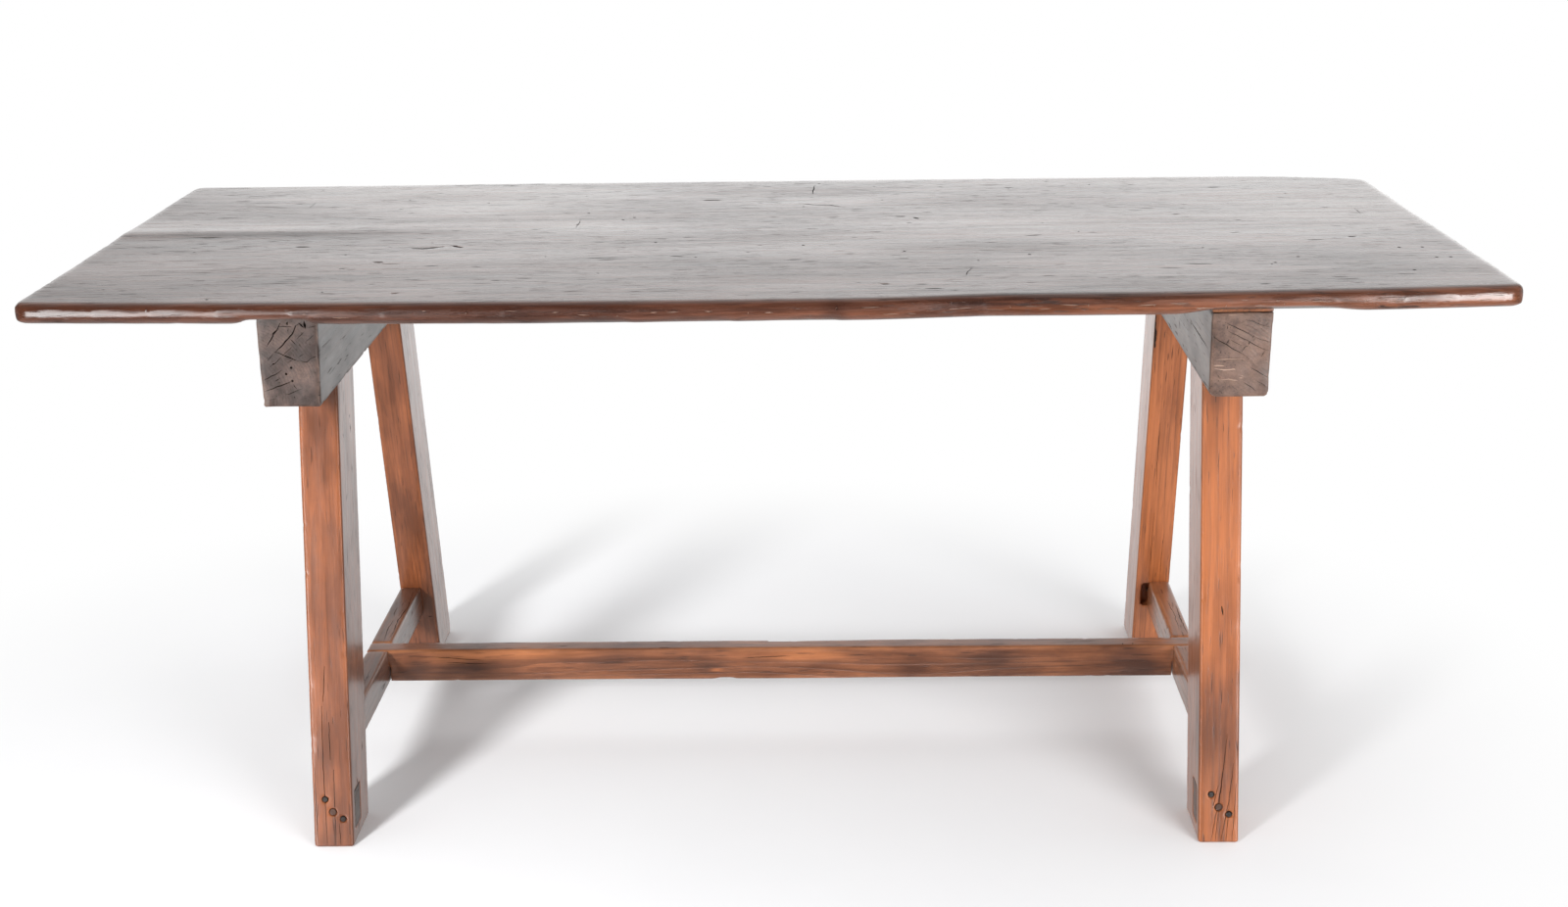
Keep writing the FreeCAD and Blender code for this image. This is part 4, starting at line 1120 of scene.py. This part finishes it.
def stretcher_hollow(points, normals):
    """A split along the upper back arris, deep at one end and fading out, and a chip below."""
    low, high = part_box("long_stretcher")
    x, y, z = points.T
    along = np.clip((x - SPLIT_START) / (SPLIT_END - SPLIT_START), 0, 1)
    inside = (x > SPLIT_START) & (x < SPLIT_END)
    upper = ease(z - high.z, *np.negative(SPLIT_BELOW))
    behind = ease(y - high.y, *np.negative(SPLIT_BEHIND))
    y -= SPLIT_DEPTH * (1 - along) ** SPLIT_FADE * inside * upper * behind
    chip = np.exp(-((x - CHIP_X) / CHIP_HALF) ** CHIP_FLATNESS)
    lower = 1 - ease(z - low.z, 0, CHIP_HEIGHT)
    ahead = 1 - ease(y - low.y, 0, CHIP_BREADTH)
    z += CHIP_DEPTH * chip * lower * ahead
    return points


def long_stretcher_marks(shape, draw):
    """Two short cuts across the top, and checks in the front."""
    low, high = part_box("long_stretcher")
    top = Face((0, 0, high.z), (1, 0, 0), (0, 1, 0))
    top.alike(shape, draw, (((510, 8), (511, 13)), ((525, 8), (526, 13))), width=2.2, depth=4)
    front = Face((0, low.y, 0), (1, 0, 0), (0, 0, 1))
    front.alike(shape, draw, (
        ((-520, 118), (-440, 112)), ((-500, 109), (-430, 106)),
        ((-60, 112), (20, 116)), ((-90, 81), (-66, 80)),
    ), width=1.2, depth=3)


def upper_side(node):
    """The upper side of a cross stretcher, with places from its right arris."""
    _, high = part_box(node)
    return Face((high.x, 0, high.z), (0, 1, 0), (-1, 0, 0))


def left_cross_marks(shape, draw):
    """A split that wanders along the inner upper arris, and short ones beside it."""
    upper_side("left_cross_stretcher").cracks(shape, draw, (
        (1.1, (40, 6), (120, 9), (180, 5), (245, 8)), (0.7, (30, 14), (90, 18), (130, 16)),
        (0.9, (-200, 10), (-60, 12)), (0.6, (60, 34), (150, 33)),
    ), CROSS_SPLIT_DEPTH, CROSS_SPLIT_SWAY)


def right_cross_marks(shape, draw):
    """Splits along the outer upper arris."""
    upper_side("right_cross_stretcher").cracks(shape, draw, (
        (1.1, (45, 5), (110, 7), (170, 4)), (0.8, (60, 15), (120, 13), (190, 16)),
        (0.9, (-190, 12), (-70, 10)), (0.6, (50, 30), (95, 31)),
    ), CROSS_SPLIT_DEPTH, CROSS_SPLIT_SWAY)


# Spots of the long stretcher: along, up, length, breadth and strength

STRETCHER_SPOTS = (
    # The dark spots near the left end, from -0.545 to -0.40 along, are painted shadow of the leg at that
    # end, over darker wood.
    (-0.545, 0.095, 0.02, 0.02, -1.0), (-0.515, 0.082, 0.025, 0.012, -0.9),
    (-0.48, 0.118, 0.045, 0.012, 0.8), (-0.40, 0.084, 0.09, 0.009, -0.5),
    (-0.45, 0.098, 0.05, 0.010, -0.7), (0.30, 0.10, 0.12, 0.02, -0.25), (0.535, 0.09, 0.025, 0.018, -0.8),
    (-0.10, 0.098, 0.022, 0.011, -0.9), (-0.095, 0.094, 0.012, 0.003, 1.3),
    (0.045, 0.118, 0.06, 0.009, 0.6), (-0.36, 0.122, 0.10, 0.007, 0.6), (0.33, 0.105, 0.05, 0.014, -0.6),
    (0.46, 0.095, 0.06, 0.02, 0.1), (-0.22, 0.10, 0.08, 0.02, -0.35),
)
STRETCHER_FRONT = 0.004


def make_stretchers():
    spots = [((x, STRETCHER_FRONT, z), *size) for x, z, *size in STRETCHER_SPOTS]
    wear = Wear(wave=0.6, ridge=0.2, arris=0.4, nicks=30, nick_depth=0.9)
    dress(
        "long_stretcher", "stretcher", TIMBER_VOXEL, ALONG_X, 10, wear, long_stretcher_marks,
        stretcher_hollow, spots=spots, tone=0.02,
    )
    for seed, node, marks, tone in (
        (11, "left_cross_stretcher", left_cross_marks, -0.45),
        (12, "right_cross_stretcher", right_cross_marks, 0.35),
    ):
        dress(node, "stretcher", TIMBER_VOXEL, ALONG_Y, seed, wear, marks, tone=tone)


# Small pieces in the feet, pegs and dowels

def make_small_pieces():
    worn = Wear(wave=0.3, ridge=0.1, arris=0.3, nicks=12, nick_depth=0.5)
    dress("left_mortise_patch", "patch", SMALL_VOXEL, ALONG_Y, 14, worn)
    dress("right_mortise_patch", "patch", SMALL_VOXEL, ALONG_Y, 15, worn, tone=0.4)
    flush = dict(wave=0.3, ridge=0.1, arris=0.1, nick_depth=0.4)
    dress("foot_peg_stubs", "stub", SMALL_VOXEL, ALONG_Y, 16, Wear(nicks=10, **flush))
    dress("foot_fillers", "filler", SMALL_VOXEL, ALONG_Y, 17, Wear(nicks=6, **flush))
    pegs = ("left_leg_pegs", "right_leg_pegs", "left_stretcher_pegs", "right_stretcher_pegs")
    for seed, node in enumerate(pegs, 18):
        dress(node, "peg", SMALL_VOXEL, ALONG_X, seed, worn)
    dress("lap_pegs", "peg", SMALL_VOXEL, axes_along((0, 0, 1), (1, 0, 0)), 22, worn)
    for node in ("board_dowels", "left_beam_dowels", "right_beam_dowels"):
        materials = frame["nodes"][node].data.materials
        materials.clear()
        materials.append(WOODS["dowel"])


make_top()
make_beams()
make_legs()
make_stretchers()
make_small_pieces()


# Studio: pale floor, white surround, two soft lamps

WHITE = (1, 1, 1)
PAPER_DARK, PAPER_LIGHT = (0.86, 0.865, 0.88), (0.905, 0.91, 0.92)
PAPER_LUMPS = (3.0, 3.0)
FLOOR_RADIUS, FLOOR_SIDES = 30.0, 96
WHITE_FROM, WHITE_AT = 0.5, 1.2
AHEAD_SHARE, ASIDE_SHARE = 0.6, (0.0, 0.5, 0.72, 0.9)
FILL_BY_DEPTH = (-0.5, 0.3, 0.5, 0.9)
SOFTBOX_LEVEL = 11.0


def far_from_table(tree, place):
    """0 round the table and 1 away from it, by an oval that reaches further in front."""
    x, y, _ = tree.add("SeparateXYZ", {0: place}).outputs
    behind = tree.math("MAXIMUM", y, 0.0)
    ahead = tree.product(tree.math("MINIMUM", y, 0.0), AHEAD_SHARE)
    aside = tree.product(x, tree.span(x, *ASIDE_SHARE))
    oval = tree.add("CombineXYZ", {"X": aside, "Y": behind, "Z": ahead})
    away = tree.add("VectorMath", {0: oval.outputs[0]}, operation="LENGTH").outputs["Value"]
    return tree.span(away, WHITE_FROM, WHITE_AT)


def make_floor():
    """A paper floor with shadows, which fades to plain white away from the table."""
    shape = bmesh.new()
    bmesh.ops.create_circle(shape, cap_ends=True, segments=FLOOR_SIDES, radius=FLOOR_RADIUS)
    floor = object_from(shape, "floor")
    material = bpy.data.materials.new("floor_paper")
    tree = Tree(material)
    place = tree.add("TexCoord").outputs["Object"]
    paper = tree.mix(tree.noise(place, PAPER_LUMPS, detail=3.0), PAPER_DARK, PAPER_LIGHT)
    matt = tree.add("BsdfDiffuse", {"Color": paper})
    glow = tree.add("Emission", {"Color": WHITE, "Strength": 1.0})
    seen = tree.add("LightPath").outputs["Is Camera Ray"]
    far = tree.product(far_from_table(tree, place), seen)
    tree.finish(tree.add("MixShader", {0: far, 1: matt.outputs[0], 2: glow.outputs[0]}))
    floor.data.materials.append(material)
    floor.visible_glossy = False


def reflected_level(tree, x, y, z):
    """How bright the studio looks in a reflection: white behind, dark in front and above.

    It is darker on the left and at both ends. Two soft boxes stand low in front.
    """
    aside = tree.math("ABSOLUTE", x)
    behind = tree.product(
        tree.span(y, -0.6, 0.1, 0.12, 1.0),
        tree.span(z, -0.54, -0.08, 0.34, 1.45),
        tree.span(z, 0.13, 0.3, 1.0, 0.4),
        tree.span(x, -0.5, -0.1, 0.55, 1.0),
        tree.span(aside, 0.45, 0.8, 1.0, 0.3),
    )
    floor_level = tree.span(z, -0.75, -0.4, 0.5, 0.0)
    boxes = tree.product(
        tree.span(aside, 0.33, 0.43), tree.span(aside, 0.62, 0.54),
        tree.span(z, -0.42, -0.28), tree.span(z, 0.16, 0.02), tree.span(y, -0.68, -0.78),
    )
    return tree.weigh((behind, 1.0), (floor_level, 1.0), (boxes, SOFTBOX_LEVEL))


def make_world():
    """White to the camera, soft light from all round, and the studio in reflections."""
    world = bpy.data.worlds.new("studio")
    scene.world = world
    tree = Tree(world)
    path = tree.add("LightPath").outputs
    x, y, z = tree.add("SeparateXYZ", {0: tree.add("TexCoord").outputs["Generated"]}).outputs
    fill = tree.add("Background", {"Color": WHITE, "Strength": tree.span(y, *FILL_BY_DEPTH)})
    shine = tree.add("Background", {"Color": WHITE, "Strength": reflected_level(tree, x, y, z)})
    backdrop = tree.add("Background", {"Color": WHITE, "Strength": 1.0})
    lit = tree.add("MixShader", {0: path["Is Glossy Ray"], 1: fill.outputs[0], 2: shine.outputs[0]})
    shown = tree.add("MixShader", {0: path["Is Camera Ray"], 1: lit.outputs[0], 2: backdrop.outputs[0]})
    tree.finish(shown, "OutputWorld")


def make_lamp(name, place, target, spread, **settings):
    """A round soft lamp that faces a target, with its spread in degrees."""
    data = bpy.data.lights.new(name, "AREA")
    set_all(data, dict(shape="DISK", spread=math.radians(spread), **settings))
    lamp = bpy.data.objects.new(name, data)
    lamp.location = place
    lamp.rotation_euler = (Vector(target) - Vector(place)).to_track_quat("-Z", "Y").to_euler()
    lamp.visible_glossy = False
    scene.collection.objects.link(lamp)


CAMERA_PLACE = Vector((0.09307, -2.85952, 1.35386))
CAMERA_TURN = (72.16639, 1.0069, 1.27623)
SENSOR_WIDTH, FOCAL_LENGTH = 36.0, 47.871


def make_camera():
    """The photograph's viewing angle, with turns in degrees."""
    data = bpy.data.cameras.new("camera")
    data.sensor_width = SENSOR_WIDTH
    data.lens = FOCAL_LENGTH
    camera = bpy.data.objects.new("camera", data)
    turn = Euler([math.radians(angle) for angle in CAMERA_TURN])
    camera.matrix_world = Matrix.LocRotScale(CAMERA_PLACE, turn, None)
    scene.collection.objects.link(camera)
    scene.camera = camera


make_floor()
make_world()
make_lamp("left_softbox", (-1.75, -2.9, 1.4), target=(-0.5, 0, 0.3), spread=66, size=0.6, energy=18)
make_lamp("right_softbox", (1.95, -2.9, 1.4), target=(0.8, 0, 0.25), spread=90, size=1.8, energy=22)
make_camera()
scene.view_settings.view_transform = "Standard"
